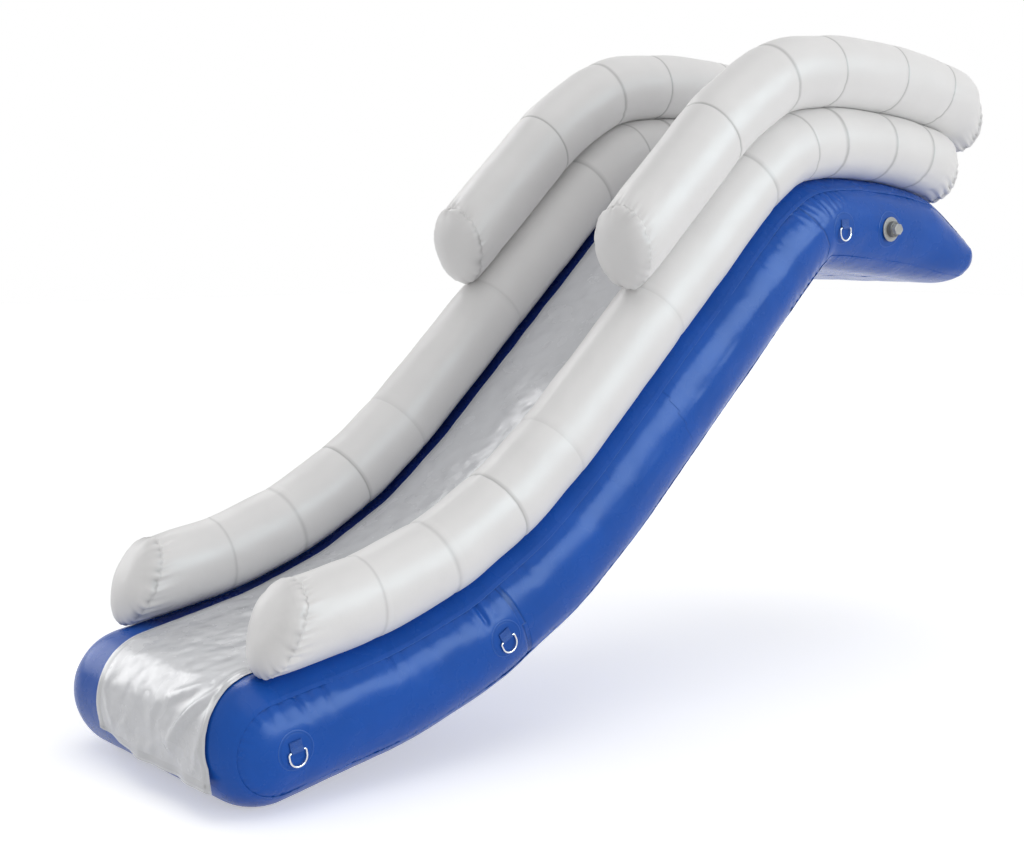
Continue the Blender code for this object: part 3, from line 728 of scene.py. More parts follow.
@dataclass(frozen=True)
class Finishes:
    """Every finish of the slide, made once."""

    blue: Material
    white: Material
    cap_white: Material
    sheet: Material
    hem: Material
    patch: Material
    strap: Material
    thread: Material
    web: Material
    steel: Material
    plastic: Material
    cap_plastic: Material
    inner_plastic: Material
    rubber: Material

    @classmethod
    def mix(cls) -> "Finishes":
        """Make all the materials.

        Returns:
            The set of finishes.
        """
        blue = (0.0105, 0.0930, 0.4500)
        white = (0.862, 0.854, 0.850)
        grey = (0.430, 0.430, 0.418)
        fabric = CoatedFabric(blue, 0.27, specular=0.18, coat=0.0)
        patch = CoatedFabric(shaded(blue, 0.96), specular=0.18, coat=0.0, crumple=0.0004)
        rail = CoatedFabric(
            white, 0.42, specular=0.30, coat=0.0, crumple=0.0008, mottle=0.015, seam_tone=0.50
        )
        glossy = (0.700, 0.710, 0.738)
        sheet = CoatedFabric(
            glossy, 0.26, crumple=0.0020, print_through=0.05, mottle=0.02, ripple=0.0085
        )
        doubled = (0.640, 0.650, 0.670)
        hem = CoatedFabric(
            doubled, 0.22, coat=0.20, crumple=0.0003, print_through=0.05, mottle=0.02
        )
        return cls(
            blue=fabric.material("blue_coated_fabric"),
            white=rail.material("white_coated_fabric"),
            cap_white=rail.material("white_end_fabric"),
            sheet=sheet.material("glossy_sheet_fabric"),
            hem=hem.material("sheet_hem_band"),
            patch=patch.material("blue_patch_fabric"),
            strap=Webbing(shaded(blue, 0.85)).material("blue_webbing"),
            thread=Webbing((0.030, 0.110, 0.430), 0.5).material("blue_thread"),
            web=CoatedFabric(shaded(blue, 0.9), 0.5).material("inner_web_fabric"),
            steel=PolishedSteel().material("stainless_steel"),
            plastic=MouldedPlastic(grey).material("grey_moulded_plastic"),
            cap_plastic=MouldedPlastic(shaded(grey, 0.40), 0.38).material("dark_moulded_plastic"),
            inner_plastic=MouldedPlastic(shaded(grey, 0.5), 0.5).material("inner_moulded_plastic"),
            rubber=MouldedPlastic((0.016, 0.016, 0.018), 0.62, 0.3).material("dark_rubber"),
        )


# The slide's line


@dataclass
class SlideLine:
    """The line of the slide, and the side outline of its base, repeated from the part."""

    gores: tuple[Point2, ...] = (
        (9.6, 0.430), (18.2, 0.297), (28.7, 0.322), (38.4, 0.278), (43.1, 0.619), (43.1, 0.595),
        (30.9, 0.186), (5.5, 0.220), (-3.1, 0.309), (-9.7, 0.232), (-35.0, 0.262),
    )
    tail_end: float = -51.0
    tail_radius: float = 0.103
    pitch: float = -5.4
    rest: float = 0.443
    thickness: float = 0.372
    deck_thickness: float = 0.350
    crest_start: int = 6
    crest_corner: int = 7
    deck_middle: int = 9
    tail_start: int = 10
    soft: float = 0.080
    low_soft: float = 0.022

    def __post_init__(self) -> None:
        """Walk the knots and find the underside."""
        self.slopes = [math.radians(slope) for slope, _ in self.gores]
        self.lengths = [length for _, length in self.gores]
        before = [self.slopes[0], *self.slopes]
        after = [*self.slopes, math.radians(self.tail_end)]
        self.mitres = [
            (upward((a + b) / 2), 1 / math.cos((a - b) / 2)) for a, b in zip(before, after)
        ]
        top = [np.zeros(2)]
        for slope, length in zip(self.slopes, self.lengths):
            top.append(top[-1] + along(slope) * length)
        pitch = math.radians(self.pitch)
        deck = top[self.deck_middle] - upward(pitch) * self.deck_thickness
        bottom: list[Array] = []
        for index, (knot, (up, stretch)) in enumerate(zip(top, self.mitres)):
            if index <= self.crest_start:
                bottom.append(knot - up * stretch * self.thickness)
            elif index == self.crest_corner:
                chute = along(self.slopes[self.crest_start - 1])
                bottom.append(meet(bottom[self.crest_start], chute, deck, along(pitch)))
            else:
                bottom.append(meet(knot, up, deck, along(pitch)))
        origin = bottom[self.crest_corner] + along(pitch) * self.rest
        end = math.radians(self.tail_end)
        low = deck + upward(pitch) * self.tail_radius
        high = top[-1] - upward(end) * self.tail_radius
        self.tail_centre = meet(high, along(end), low, along(pitch)) - origin
        self.top = np.array(top) - origin
        self.bottom = np.array(bottom) - origin
        self.middles = (self.top + self.bottom) / 2
        self.nose_centre = self.middles[0]
        self.nose_radius = self.thickness / 2
        tail_length = float(np.linalg.norm(self.tail_centre - self.middles[-1]))
        self.chain_lengths = [*self.lengths, tail_length]
        self.softs = [self.soft] * (len(self.chain_lengths) + 1)
        self.low_softs = [*self.softs]
        self.low_softs[self.crest_corner] = self.low_soft

    def chains(self, places: Array) -> tuple[Array, Array, Array]:
        """Softened top, bottom and middle lines, as far as the tail's nose.

        Args:
            places: Where to evaluate, in knots.

        Returns:
            Points in (y, z) on the top, the bottom and the middle.
        """
        weights = chain_weights(places, self.chain_lengths, self.softs)
        low_weights = chain_weights(places, self.chain_lengths, self.low_softs)
        first = self.tail_centre + along(math.radians(self.tail_end + 90)) * self.tail_radius
        last = self.tail_centre + along(math.radians(self.pitch - 90)) * self.tail_radius
        top = weights @ np.vstack((self.top, first))
        bottom = low_weights @ np.vstack((self.bottom, last))
        middle = weights @ np.vstack((self.middles, self.tail_centre))
        return top, bottom, middle

    def stations(self, places: Array) -> Array:
        """Distance along the top for places given in knots."""
        knots = np.cumsum([0, *self.chain_lengths])
        return np.interp(places, range(len(knots)), knots)


def lift_points(x: Array | float, flat: Array) -> Array:
    """Turn (y, z) points into world points.

    Args:
        x: Places across, one or as many as the points.
        flat: Points in (y, z).

    Returns:
        Points in (x, y, z).
    """
    wide = np.broadcast_to(x, flat.shape[:-1])
    return np.concatenate((wide[..., None], flat), axis=-1)


# Base chamber


@dataclass
class BaseChamber:
    """The thick blue chamber: one wrap panel, two side panels and the webs between them.

    Stations run along its outline from the nose's start up the bed, over the deck end and back
    along the underside. They are negative on the nose.
    """

    line: SlideLine
    finishes: Finishes
    core: float = 0.3484
    reach: float = 0.1805
    power: float = 2.1
    seam_turn: float = 46.2
    lap: float = 0.0011
    lap_width: float = 0.016
    nose_run: float = 0.70
    nose_end: Point2 = (-0.04, 0.12)
    crest_start: Point2 = (2.20, 2.45)
    crest_end: Point2 = (3.20, 3.50)
    # Where the bed strip beside each rail gets painted shade.
    strip_start: Point2 = (0.02, 0.11)
    strip_end: Point2 = (3.20, 3.40)
    # Where the lap's pale edge line shows; the line is partly the fabric's lighter core and partly
    # a painted highlight.
    edge_start: Point2 = (0.10, 0.45)
    edge_end: Point2 = (3.45, 3.60)
    # Inner and outer edge of the bed strip painted in shade, measured from the centre plane.
    strip: Point2 = (0.270, 0.360)
    cross_seams: tuple[tuple[Point2, ...], ...] = (
        (
            (-0.680, 0.284), (-0.650, 0.257), (-0.619, 0.228), (-0.570, 0.181),
            (-0.522, 0.124), (-0.500, 0.040), (-0.492, -0.02),
        ),
        ((-2.032, -0.888), (-2.014, -0.918), (-1.913, -1.091), (-1.885, -1.139)),
        ((-2.044, -0.894), (-2.026, -0.924), (-1.925, -1.097), (-1.897, -1.145)),
    )
    web_places: tuple[float, ...] = (-0.2613, -0.0871, 0.0871, 0.2613)
    crest_dents: tuple[float, ...] = (
        2.545, 2.578, 2.612, 2.648, 2.686,
        2.722, 2.760, 2.797, 2.832, 2.866,
    )
    deep_dents: tuple[Point3, ...] = (
        (3.310, 0.080, 0.0040), (3.345, 0.070, 0.0034), (0.030, 0.080, 0.0070),
        (0.078, 0.110, 0.0078), (0.122, 0.085, 0.0052), (0.168, 0.120, 0.0066),
        (-0.030, 0.075, 0.0056), (0.640, 0.120, 0.0040), (0.695, 0.150, 0.0062),
        (0.733, 0.210, 0.0092), (0.775, 0.200, 0.0086), (0.400, 0.150, 0.0040),
        (0.452, 0.170, 0.0052), (0.540, 0.120, 0.0042), (0.935, 0.100, 0.0048),
    )
    side_rows: tuple[PuckerRow, ...] = (
        PuckerRow(2.900, 2.99, 0.032, (0.0012, 0.0012), (0.035, 0.0), 0.0060, 0.006),
        PuckerRow(0.24, 2.50, 0.041, (0.0010, 0.0016), (0.04, 0.07), 0.0065, 0.012, 0.2, 0.85),
        PuckerRow(3.02, 3.70, 0.052, (0.0006, 0.0009), (0.03, 0.0), 0.0070, 0.010),
        PuckerRow(-0.57, 0.02, 0.043, (0.0014, 0.0020), (0.03, 0.03), 0.0070, 0.009),
    )
    low_corner: float = 4.95
    low_dents: tuple[float, ...] = (-0.10, -0.07, -0.043, -0.018, 0.008, 0.035, 0.065, 0.10)
    low_row: PuckerRow = PuckerRow(
        5.2, 7.6, 0.075, (0.0006, 0.0010), (0.04, 0.0), 0.008, 0.02
    )

    def __post_init__(self) -> None:
        """Sample the closed outline once."""
        line = self.line
        fine = ((0.0, 0.40, 0.006), (2.30, 2.98, 0.005))
        self.places = gore_places(line.chain_lengths, 0.011, fine)
        top, bottom, middle = line.chains(self.places)
        start, end = math.radians(line.tail_end + 90), math.radians(line.pitch - 90)
        turns = np.linspace(start, end, 32)[1:-1]
        tail = [line.tail_centre + along(turn) * line.tail_radius for turn in turns]
        turns = line.slopes[0] - math.pi / 2 - np.linspace(0, math.pi, 74)[1:-1]
        nose = [line.nose_centre + along(turn) * line.nose_radius for turn in turns]
        self.outline = np.vstack((top, tail, bottom[::-1], nose))
        centres = (middle, [line.tail_centre] * len(tail), middle[::-1])
        self.centres = np.vstack((*centres, [line.nose_centre] * len(nose)))
        steps = np.linalg.norm(np.diff(self.outline, axis=0, append=self.outline[:1]), axis=1)
        run = np.concatenate(([0.0], np.cumsum(steps)[:-1]))
        total = float(steps.sum())
        self.run = np.where(run > total - self.nose_run, run - total, run)
        past_crest = smooth_step(self.run, *self.crest_end)
        past_nose = smooth_step(self.run, *self.nose_end)
        crest = plateau(self.run, self.crest_start, self.crest_end)
        self.evened = np.maximum(past_crest, 1 - 0.4 * past_nose) * (1 - crest)
        self.laps = self.lap * (1 - 0.55 * self.evened)
        # Darker line along the side panel's weld, partly dirt and partly painted shade under the
        # lap, faded where the seam is evened.
        self.weld_tone = 0.35 * (1 - 0.90 * self.evened)
        # Strength of the lap's pale edge line, partly lighter core and partly painted highlight.
        self.shown = plateau(self.run, self.edge_start, self.edge_end) + 0.15
        # Painted shade on the bed strip, only along the bed.
        self.on_bed = plateau(self.run, self.strip_start, self.strip_end)
        self.outward = units(self.outline - self.centres)

    def cross_gap(self, flat: Array) -> Array:
        """Signed distance from the nearest cross seam of the side panel.

        Args:
            flat: Points in (y, z).

        Returns:
            Distances in metres, with opposite signs on a seam's two sides.
        """
        best = np.full(flat.shape[:-1], 1.0)
        for seam in self.cross_seams:
            for start, end in zip(seam, seam[1:]):
                start, step = np.array(start), np.subtract(end, start)
                share = np.clip(((flat - start) @ step) / (step @ step), 0, 1)
                away = flat - (start + share[..., None] * step)
                gap = np.linalg.norm(away, axis=-1)
                gap = np.where(away[..., 0] * step[1] - away[..., 1] * step[0] < 0, -gap, gap)
                best = np.where(np.abs(gap) < np.abs(best), gap, best)
        return best

    def shrink(self, turn: Array | float) -> Array | float:
        """How much of the outline's reach from its middle is left at a turn round the side."""
        return np.maximum(np.cos(turn), 0.0) ** (2 / self.power)

    def across(self, turn: Array | float) -> Array | float:
        """Distance of the skin from the centre plane at a turn round the side."""
        return self.core + self.reach * np.maximum(np.sin(turn), 0.0) ** (2 / self.power)

    def shrink_at(self, x: Array) -> Array:
        """The same share, for a distance from the centre plane."""
        past = np.clip((np.abs(x) - self.core) / self.reach, 0.0, 1.0)
        return (1 - past**self.power) ** (1 / self.power)

    def side_x(self, flat: Array) -> Array:
        """How far out the side skin stands over points of the centre plane.

        Args:
            flat: Points in (y, z).

        Returns:
            Distance from the centre plane.
        """
        path = np.vstack((self.line.middles, self.line.tail_centre))
        halves = np.linalg.norm(self.line.top - self.line.middles, axis=1)
        halves = np.array([half / stretch for half, (_, stretch) in zip(halves, self.line.mitres)])
        halves = np.append(halves, self.line.tail_radius)
        best = np.full(flat.shape[:-1], 9.0)
        share = np.zeros(flat.shape[:-1])
        for index, (start, end) in enumerate(zip(path, path[1:])):
            step = end - start
            run = np.clip(((flat - start) @ step) / (step @ step), 0, 1)
            gap = np.linalg.norm(flat - (start + run[..., None] * step), axis=-1)
            half = halves[index] + (halves[index + 1] - halves[index]) * run
            share = np.where(gap < best, gap / half, share)
            best = np.minimum(best, gap)
        share = np.clip(share, 0.0, 1.0)
        return self.core + self.reach * (1 - share**self.power) ** (1 / self.power)

    def skin(self, turns: Array, hand: Hand) -> tuple[Array, Array]:
        """The skin and its normals at turns round a side.

        Args:
            turns: Turns in radians, one for each row.
            hand: The side.

        Returns:
            Points and normals, indexed by turn and place on the outline.
        """
        shrink = self.shrink(turns)[:, None, None]
        flat = self.centres[None] + (self.outline - self.centres)[None] * shrink
        points = lift_points((hand.value * self.across(turns))[:, None], flat)
        out = self.outward[None] * np.cos(turns)[:, None, None]
        return points, units(lift_points((hand.value * np.sin(turns))[:, None], out))

    def lapped_column(self, turn: float, hand: Hand) -> tuple[Array, Array]:
        """One column of the wrap panel round a side, raised where it laps the side panel.

        Args:
            turn: Turn round the side, in radians.
            hand: The side.

        Returns:
            Points and tone marks along the outline.
        """
        edge = math.radians(self.seam_turn)
        lap = self.lap_width / self.line.nose_radius
        points, normals = self.skin(np.array([turn]), hand)
        over = self.laps * smooth_step(np.array(turn), edge - lap * 1.15, edge - lap * 0.9)
        # Painted shade: dark navy on the bed strip in shadow between the rail's contact and the
        # sheet's edge.
        shade_strip = 2.0 * (self.across(turn) < self.strip[1]) * self.on_bed
        # The lap's edge column gets a pale line, partly the fabric's lighter core and partly a
        # painted highlight.
        marks = -0.75 * self.shown if turn == edge else shade_strip
        return points[0] + normals[0] * over[:, None], marks

    def bed_column(self, x: float) -> tuple[Array, Array]:
        """One column of the wrap panel between its sides, drawn in a little over each web.

        Args:
            x: Distance from the centre plane.

        Returns:
            Points and tone marks along the outline.
        """
        webs = sum(float(bell(np.array(x - web), 0.022)) for web in self.web_places)
        dip = np.where(self.run > 4.3, 0.0035, 0.0012) * webs * (self.run > 0)
        points = lift_points(x, self.outline) - lift_points(0.0, self.outward) * dip[:, None]
        # Painted shade: dark navy on the bed strip in shadow between the sheet's edge and the
        # rails.
        shade_strip = self.strip[0] < abs(x) < self.strip[1]
        return points, 2.0 * shade_strip * self.on_bed

    def tucked_edge(self, hand: Hand) -> tuple[Array, Array]:
        """The wrap panel's edge turned under its lap, as points and tone marks."""
        points, normals = self.skin(np.array([math.radians(self.seam_turn) + 0.002]), hand)
        # Pale on the turned-under edge: partly the fabric's lighter core, partly a painted
        # highlight.
        return points[0] - normals[0] * self.laps[:, None], -0.4 * self.shown

    def wrap_panel(self) -> None:
        """The belt over the top, round both noses and along the underside."""
        edge = math.radians(self.seam_turn)
        lap = self.lap_width / self.line.nose_radius
        plain = np.linspace(0.05, edge - lap, 15)
        side = np.concatenate((plain, np.linspace(edge - lap * 0.9, edge, 7)))
        columns = [self.tucked_edge(Hand.LEFT)]
        columns += [self.lapped_column(turn, Hand.LEFT) for turn in side[::-1]]
        columns += [self.bed_column(x) for x in np.linspace(-self.core, self.core, 23)]
        columns += [self.lapped_column(turn, Hand.RIGHT) for turn in side]
        columns.append(self.tucked_edge(Hand.RIGHT))
        rows, marks = (np.array(part) for part in zip(*columns))
        wave = Undulation(11, 0.0007).at(rows)
        dents = self.edge_dents(rows)
        outward = self.outward[None] * np.ones((len(rows), 1, 1))
        normals = units(lift_points(rows[..., 0] * 0.5, outward))
        rows = rows + normals * (wave - dents)[..., None]
        skin = SkinMesh("base_wrap_skin")
        skin.grid(rows, closed=True, marks=marks)
        place_piece(skin.build(sharp=50), self.finishes.blue, ["base_wrap_panel"])

    def edge_dents(self, rows: Array) -> Array:
        """Small dents of the wrap panel beside its welds.

        Args:
            rows: Points of the panel.

        Returns:
            Depth at each point.
        """
        edge = self.across(math.radians(self.seam_turn))
        away = np.abs(np.abs(rows[..., 0]) - edge)
        run = self.run[None]
        wave = np.sin(run * 210 + np.sin(run * 33) * 2.2) * np.sin(run * 71 + 1.0)
        return 0.0006 * bell(away, 0.02) * wave

    def puckers(self) -> list[Pucker]:
        """Dents of the side panel that start at its welds, by distance along the outline.

        Returns:
            The dents, the same on both sides.
        """
        chance = np.random.default_rng(41)
        dents = []
        for number, station in enumerate(self.crest_dents):
            tall = 0.6 + 0.4 * math.sin(math.pi * (number + 1) / (len(self.crest_dents) + 1))
            length = (0.080 + 0.06 * chance.random()) * tall
            depth = (0.0056 + 0.0028 * chance.random()) * tall
            dents.append(Pucker(station, length, 0.0080, depth, chance.uniform(0.25, 0.50)))
        for station, length, depth in self.deep_dents:
            dents.append(Pucker(station, length, 0.0085, depth, chance.uniform(-0.15, 0.15)))
        for row in self.side_rows:
            dents += row.draw(chance)
        return dents

    def low_puckers(self) -> list[Pucker]:
        """Dents that start at the underside's welds, by distance along the outline.

        Returns:
            The dents, the same on both sides.
        """
        chance = np.random.default_rng(43)
        dents = []
        for offset in self.low_dents:
            depth = 0.0030 + 0.0022 * chance.random()
            length = 0.05 + 0.05 * chance.random()
            lean = chance.uniform(-0.2, 0.2)
            dents.append(Pucker(self.low_corner + offset, length, 0.008, depth, lean))
        return dents + self.low_row.draw(chance)

    def side_panel(self, hand: Hand) -> None:
        """A puffed side panel, from its weld round to the middle line.

        Args:
            hand: The side.
        """
        first = math.radians(self.seam_turn) - 0.05
        near = np.linspace(first, first + 0.42, 24)
        turns = np.concatenate((near, np.linspace(first + 0.42, math.pi / 2, 17)[1:]))
        points, normals = self.skin(turns, hand)
        weld = first + 0.05
        half = np.linalg.norm(self.outline - self.centres, axis=1)
        down = (turns - weld)[:, None] * np.minimum(half, 0.19)[None]
        stations = np.broadcast_to(self.run[None], down.shape)
        inward = np.zeros_like(down)
        for dent in [*self.puckers(), *self.low_puckers()]:
            pick = np.abs(self.run - dent.station) < dent.width * 6 + 0.03
            inward[:, pick] += dent.at(stations[:, pick], down[:, pick])
        quiet = self.quiet(points, hand)
        inward *= quiet
        sunk = (self.laps + 0.0004) * (1 - smooth_step(down, 0.004, 0.034))
        cross = self.cross_gap(points[..., 1:])
        groove = 0.0016 * bell(cross, 0.020) * quiet
        wave = Undulation(23 + hand.value, 0.0010, 0.09, 0.34).at(points) * quiet
        centre = smooth_step(turns, 1.38, 1.54)[:, None]
        at_weld = 1 - smooth_step(down, 0.012, 0.050)
        wave = wave * (1 - centre) * (1 - self.evened * at_weld)
        offset = (wave - inward - groove) * (1 - centre) - sunk
        points = points + normals * offset[..., None]
        # Darker along the weld: partly dirt, partly painted shade under the lap's edge.
        marks = bell(down, 0.004) * self.weld_tone
        skin = SkinMesh(f"base_side_skin_{hand.label}")
        skin.lines = 1.0 + np.clip(cross, -0.05, 0.05)
        skin.grid(points, closed=True, marks=marks)
        node = f"base_side_panel_{hand.label}"
        place_piece(skin.build(weld=0.00002), self.finishes.blue, [node])

    def quiet(self, points: Array, hand: Hand) -> Array:
        """Share of the unevenness that is left, less under the fittings' patches.

        Args:
            points: Points of the side skin.
            hand: The side.

        Returns:
            Shares from 0 to 1.
        """
        share = np.ones(points.shape[:-1])
        for y, z, radius in fitting_places(hand):
            gap = np.hypot(points[..., 1] - y, points[..., 2] - z)
            share = np.minimum(share, smooth_step(gap, radius + 0.002, radius + 0.03))
        return share

    def webs(self) -> None:
        """The lengthwise webs that keep the chamber flat."""
        pick = (self.places >= 1) & (self.places <= self.line.tail_start)
        top, bottom, middle = self.line.chains(self.places[pick])
        top = top - units(top - middle) * 0.0030
        bottom = bottom - units(bottom - middle) * 0.0062
        rows = np.array([bottom + (top - bottom) * share for share in np.linspace(0, 1, 7)])
        flat = rows[:, ::3]
        for number, x in enumerate(self.web_places, 1):
            skin = SkinMesh(f"inner_web_{number}")
            near, far = (lift_points(x + shift, flat) for shift in (-0.0005, 0.0005))
            skin.grid(np.concatenate((near, far[::-1])), ring=True)
            for end in (0, -1):
                skin.grid(np.stack((near[:, end], far[:, end])))
            mesh = skin.build(weld=0.00001, sharp=40)
            piece = place_piece(mesh, self.finishes.web, [f"base_web_{number}"])

    def build(self) -> None:
        """Make the whole chamber."""
        self.wrap_panel()
        for hand in Hand:
            self.side_panel(hand)
        self.webs()
        LOG.info("base chamber: wrap panel, two side panels, %d webs", len(self.web_places))


# Middle of each fitting on its side panel: y, z and slope in degrees.
RING_PLACES = {
    "front": (-2.788520, -1.241990, 9.600),
    "middle": (-2.033419, -1.051928, 28.700),
    "rear": (-0.452782, 0.184773, 2.797),
}
VALVE_PLACE = (-0.187947, 0.180308, -4.159)
RING_PATCH_RADIUS = 0.0575
VALVE_PATCH_RADIUS = 0.066


def fitting_places(hand: Hand) -> list[Point3]:
    """Where a side's patches sit.

    Args:
        hand: The side.

    Returns:
        The y, z and radius of each patch.
    """
    places = [(y, z, RING_PATCH_RADIUS) for y, z, _ in RING_PLACES.values()]
    if hand is Hand.RIGHT:
        places.append((VALVE_PLACE[0], VALVE_PLACE[1], VALVE_PATCH_RADIUS))
    return places


# Rails


@dataclass
class RimDents:
    """Uneven dents round a welded rim, the same on the tube and on its cap."""

    seed: int
    count: int = 34
    depth: float = 0.0120

    def __post_init__(self) -> None:
        """Draw the dents."""
        chance = np.random.default_rng(self.seed)
        spacing = 2 * math.pi / self.count
        self.turns = (np.arange(self.count) + chance.uniform(-0.32, 0.32, self.count)) * spacing
        self.widths = spacing * chance.uniform(0.17, 0.30, self.count)
        self.depths = self.depth * chance.uniform(0.35, 1.15, self.count)
        self.reaches = chance.uniform(0.6, 1.35, self.count)

    def at(self, turns: Array, away: Array, reach: float) -> Array:
        """Depth of the dents.

        Args:
            turns: Angles round the rim.
            away: Distance from the rim.
            reach: How far an average dent runs.

        Returns:
            Inward offset, in metres.
        """
        total = np.zeros(np.broadcast(turns, away).shape)
        for turn, width, depth, far in zip(self.turns, self.widths, self.depths, self.reaches):
            across = bell(turn_gap(turns, turn), width * (1 + 0.7 * away / reach))
            total += depth * across * np.exp(-((away / (reach * far)) ** 1.6))
        return total


@dataclass
class Rail:
    """One rail: its gored tube and the puffed caps that close it.

    Each end is given by its run past the last knot and the lean of its cut in degrees, and the
    shifts are how far each seam lies from its knot.
    """

    line: SlideLine
    finishes: Finishes
    hand: Hand
    level: Level
    seed: int
    radius: float = 0.126
    spacing: float = 0.820
    spread: float = 0.016
    inset: float = 0.0616
    clear: float = 0.0003
    narrowing: float = 0.86
    front_puff: float = 0.058
    tail_puff: float = 0.045
    sides: int = 112
    pinch: float = 0.0044
    pressed: float = 0.0009
    groove: float = 0.0022
    hollow: float = 0.0014
    band: float = 0.0006
    cap_band: float = 0.0004
    wrinkle_count: int = 26
    upper_first: int = 5
    lower_ends: tuple[Point2, Point2] = ((0.106, 67.0), (0.045, 74.0))
    upper_ends: tuple[Point2, Point2] = ((0.0, 104.0), (0.078, 88.0))
    low_shifts: tuple[float, ...] = (
        0, -0.031, -0.035, -0.053, -0.046, -0.046,
        0.017, 0.014, -0.070, -0.106, -0.146,
    )
    high_shifts: tuple[float, ...] = (
        0, 0, 0, 0, 0, 0,
        -0.095, -0.039, -0.100, -0.099, -0.145,
    )

    def __post_init__(self) -> None:
        """Find the tube's control rings."""
        line = self.line
        contact = math.asin(self.inset / (line.thickness / 2 + self.radius))
        upper = self.level is Level.UPPER
        first = self.upper_first if upper else 0
        (offset, front_cut), (last, tail_cut) = self.upper_ends if upper else self.lower_ends
        lean = math.asin(self.spread / (2 * self.radius + self.clear))
        self.first_turn = math.pi / 2 - lean if upper else -math.pi / 2 - contact
        knots = []
        for top, middle, (up, stretch) in zip(line.top, line.middles, line.mitres):
            half = float(np.linalg.norm(top - middle))
            touch = self.radius * math.cos(contact) + self.clear / math.cos(contact)
            rise = touch * stretch - half * (1 - math.cos(contact))
            if upper:
                rise += stretch * math.sqrt((2 * self.radius + self.clear) ** 2 - self.spread**2)
            knots.append(top + up * rise)
        gore, tail_gore = line.slopes[first], line.slopes[line.tail_start]
        start = meet(knots[first + 1], along(gore), line.top[first], upward(gore))
        start = start + along(gore) * offset
        end = knots[line.tail_start] + along(tail_gore) * last
        inner = range(first + 1, line.tail_start + 1)
        centres = [start, *[knots[k] for k in inner], end]
        mitres = [line.mitres[k] for k in inner]
        planes = [self.cut(front_cut, gore), *mitres, self.cut(tail_cut, tail_gore)]
        self.bends = [0.0, *[line.slopes[k] - line.slopes[k - 1] for k in inner], 0.0]
        shifts = self.high_shifts if upper else self.low_shifts
        self.shifts = [0.0, *[shifts[k] for k in inner], 0.0]
        self.touches = [self.first_turn if not upper else -math.pi / 2 - lean]
        if not upper:
            self.touches.append(math.pi / 2 - lean)
        sizes = [self.radius] * (len(centres) - 1) + [self.radius * self.narrowing]
        up, stretch = planes[-1]
        centres[-1] = end - up * stretch * self.radius * (1 - self.narrowing)
        self.x = self.hand.value * (self.spacing / 2 + (self.spread if upper else 0.0))
        self.centres = lift_points(self.x, np.array(centres))
        self.sizes = np.array(sizes)
        self.ups = np.array([(0.0, *(u * s * r)) for (u, s), r in zip(planes, sizes)])
        self.cuts = [planes[0][0], planes[-1][0]]
        steps = np.diff(self.centres, axis=0)
        self.lengths = [float(np.linalg.norm(step)) for step in steps]
        self.gores = [self.lengths[0], *line.lengths[first + 1 : line.tail_start], self.lengths[-1]]
        self.turns = self.first_turn + round_turns(self.sides)
        self.rims = (RimDents(self.seed), RimDents(self.seed + 1))

    @staticmethod
    def cut(lean: float, slope: float) -> tuple[Array, float]:
        """Direction of an end's cut plane and how much it stretches the section."""
        way = along(math.radians(lean))
        return way, 1 / float(way @ upward(slope))

    def ring(self, centres: Array, ups: Array, sizes: Array) -> tuple[Array, Array]:
        """Points of rings and their outward directions.

        Args:
            centres: Centre of each ring.
            ups: Upward half axis of each ring.
            sizes: Radius of each ring across.

        Returns:
            Points and directions, indexed by ring and side.
        """
        across = np.zeros((len(sizes), 3))
        across[:, 0] = sizes * self.hand.value
        cosine, sine = np.cos(self.turns)[None, :, None], np.sin(self.turns)[None, :, None]
        reach = across[:, None] * cosine + ups[:, None] * sine
        return centres[:, None] + reach, units(reach)

    def wrinkles(self, chance: np.random.Generator) -> Array:
        """Small wrinkles that stand square to a seam.

        Args:
            chance: Source of the random draws.

        Returns:
            Share of the full depth at each side of the tube, as one row.
        """
        total = np.zeros(self.sides)
        for _ in range(self.wrinkle_count):
            gap = turn_gap(self.turns, chance.uniform(0, 2 * math.pi))
            total += chance.uniform(0.3, 1.0) * bell(gap, chance.uniform(0.045, 0.085))
        return np.clip(total, 0, 1.4)[None]

    def label(self, part: str) -> str:
        """Name of a part of this rail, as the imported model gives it."""
        return f"{self.level.value}_rail{part}_{self.hand.label}"

    def tube(self) -> None:
        """The tube's skin with its gore seams and puckers."""
        knots = np.cumsum([0, *self.lengths])
        seams = [knot + shift for knot, shift in zip(knots, self.shifts) if shift]
        fine = [(seam - 0.014, seam + 0.014, 0.0028) for seam in seams]
        places = gore_places(self.lengths, 0.017, fine)
        weights = chain_weights(places, self.gores, [self.line.soft] * (len(self.gores) + 1))
        points, out = self.ring(weights @ self.centres, weights @ self.ups, weights @ self.sizes)
        stations = np.interp(places, range(len(self.lengths) + 1), knots)[:, None]
        offset = Undulation(self.seed, 0.0008, 0.08, 0.35).at(points)
        marks = np.zeros(points.shape[:2])
        side = np.sin(self.turns)[None]
        chance = np.random.default_rng(self.seed + 5)
        for knot, bend, shift in list(zip(knots, self.bends, self.shifts))[1:-1]:
            gap = stations - knot - shift
            offset = offset - self.groove * bell(gap, 0.0040) - self.hollow * bell(gap, 0.026)
            offset = offset + self.band * plateau(gap, (0.0005, 0.0025), (0.020, 0.0225))
            tight = np.clip(side * np.sign(bend), 0, 1) ** 0.6 * abs(bend) / math.radians(10)
            deep = (0.0005 + 0.0011 * tight) * self.wrinkles(chance)
            offset = offset - deep * bell(gap, 0.032)
            # Darker gore seams: partly dirt in the welds, partly painted shade in their grooves.
            marks = np.maximum(marks, bell(gap, 0.0036) * np.ones_like(side))
        for rim, dents in zip((knots[0], knots[-1]), self.rims):
            gap = np.abs(stations - rim)
            offset = offset - self.pinch * np.exp(-((gap / 0.017) ** 1.5))
            offset = offset - dents.at(self.turns[None], gap, 0.038)
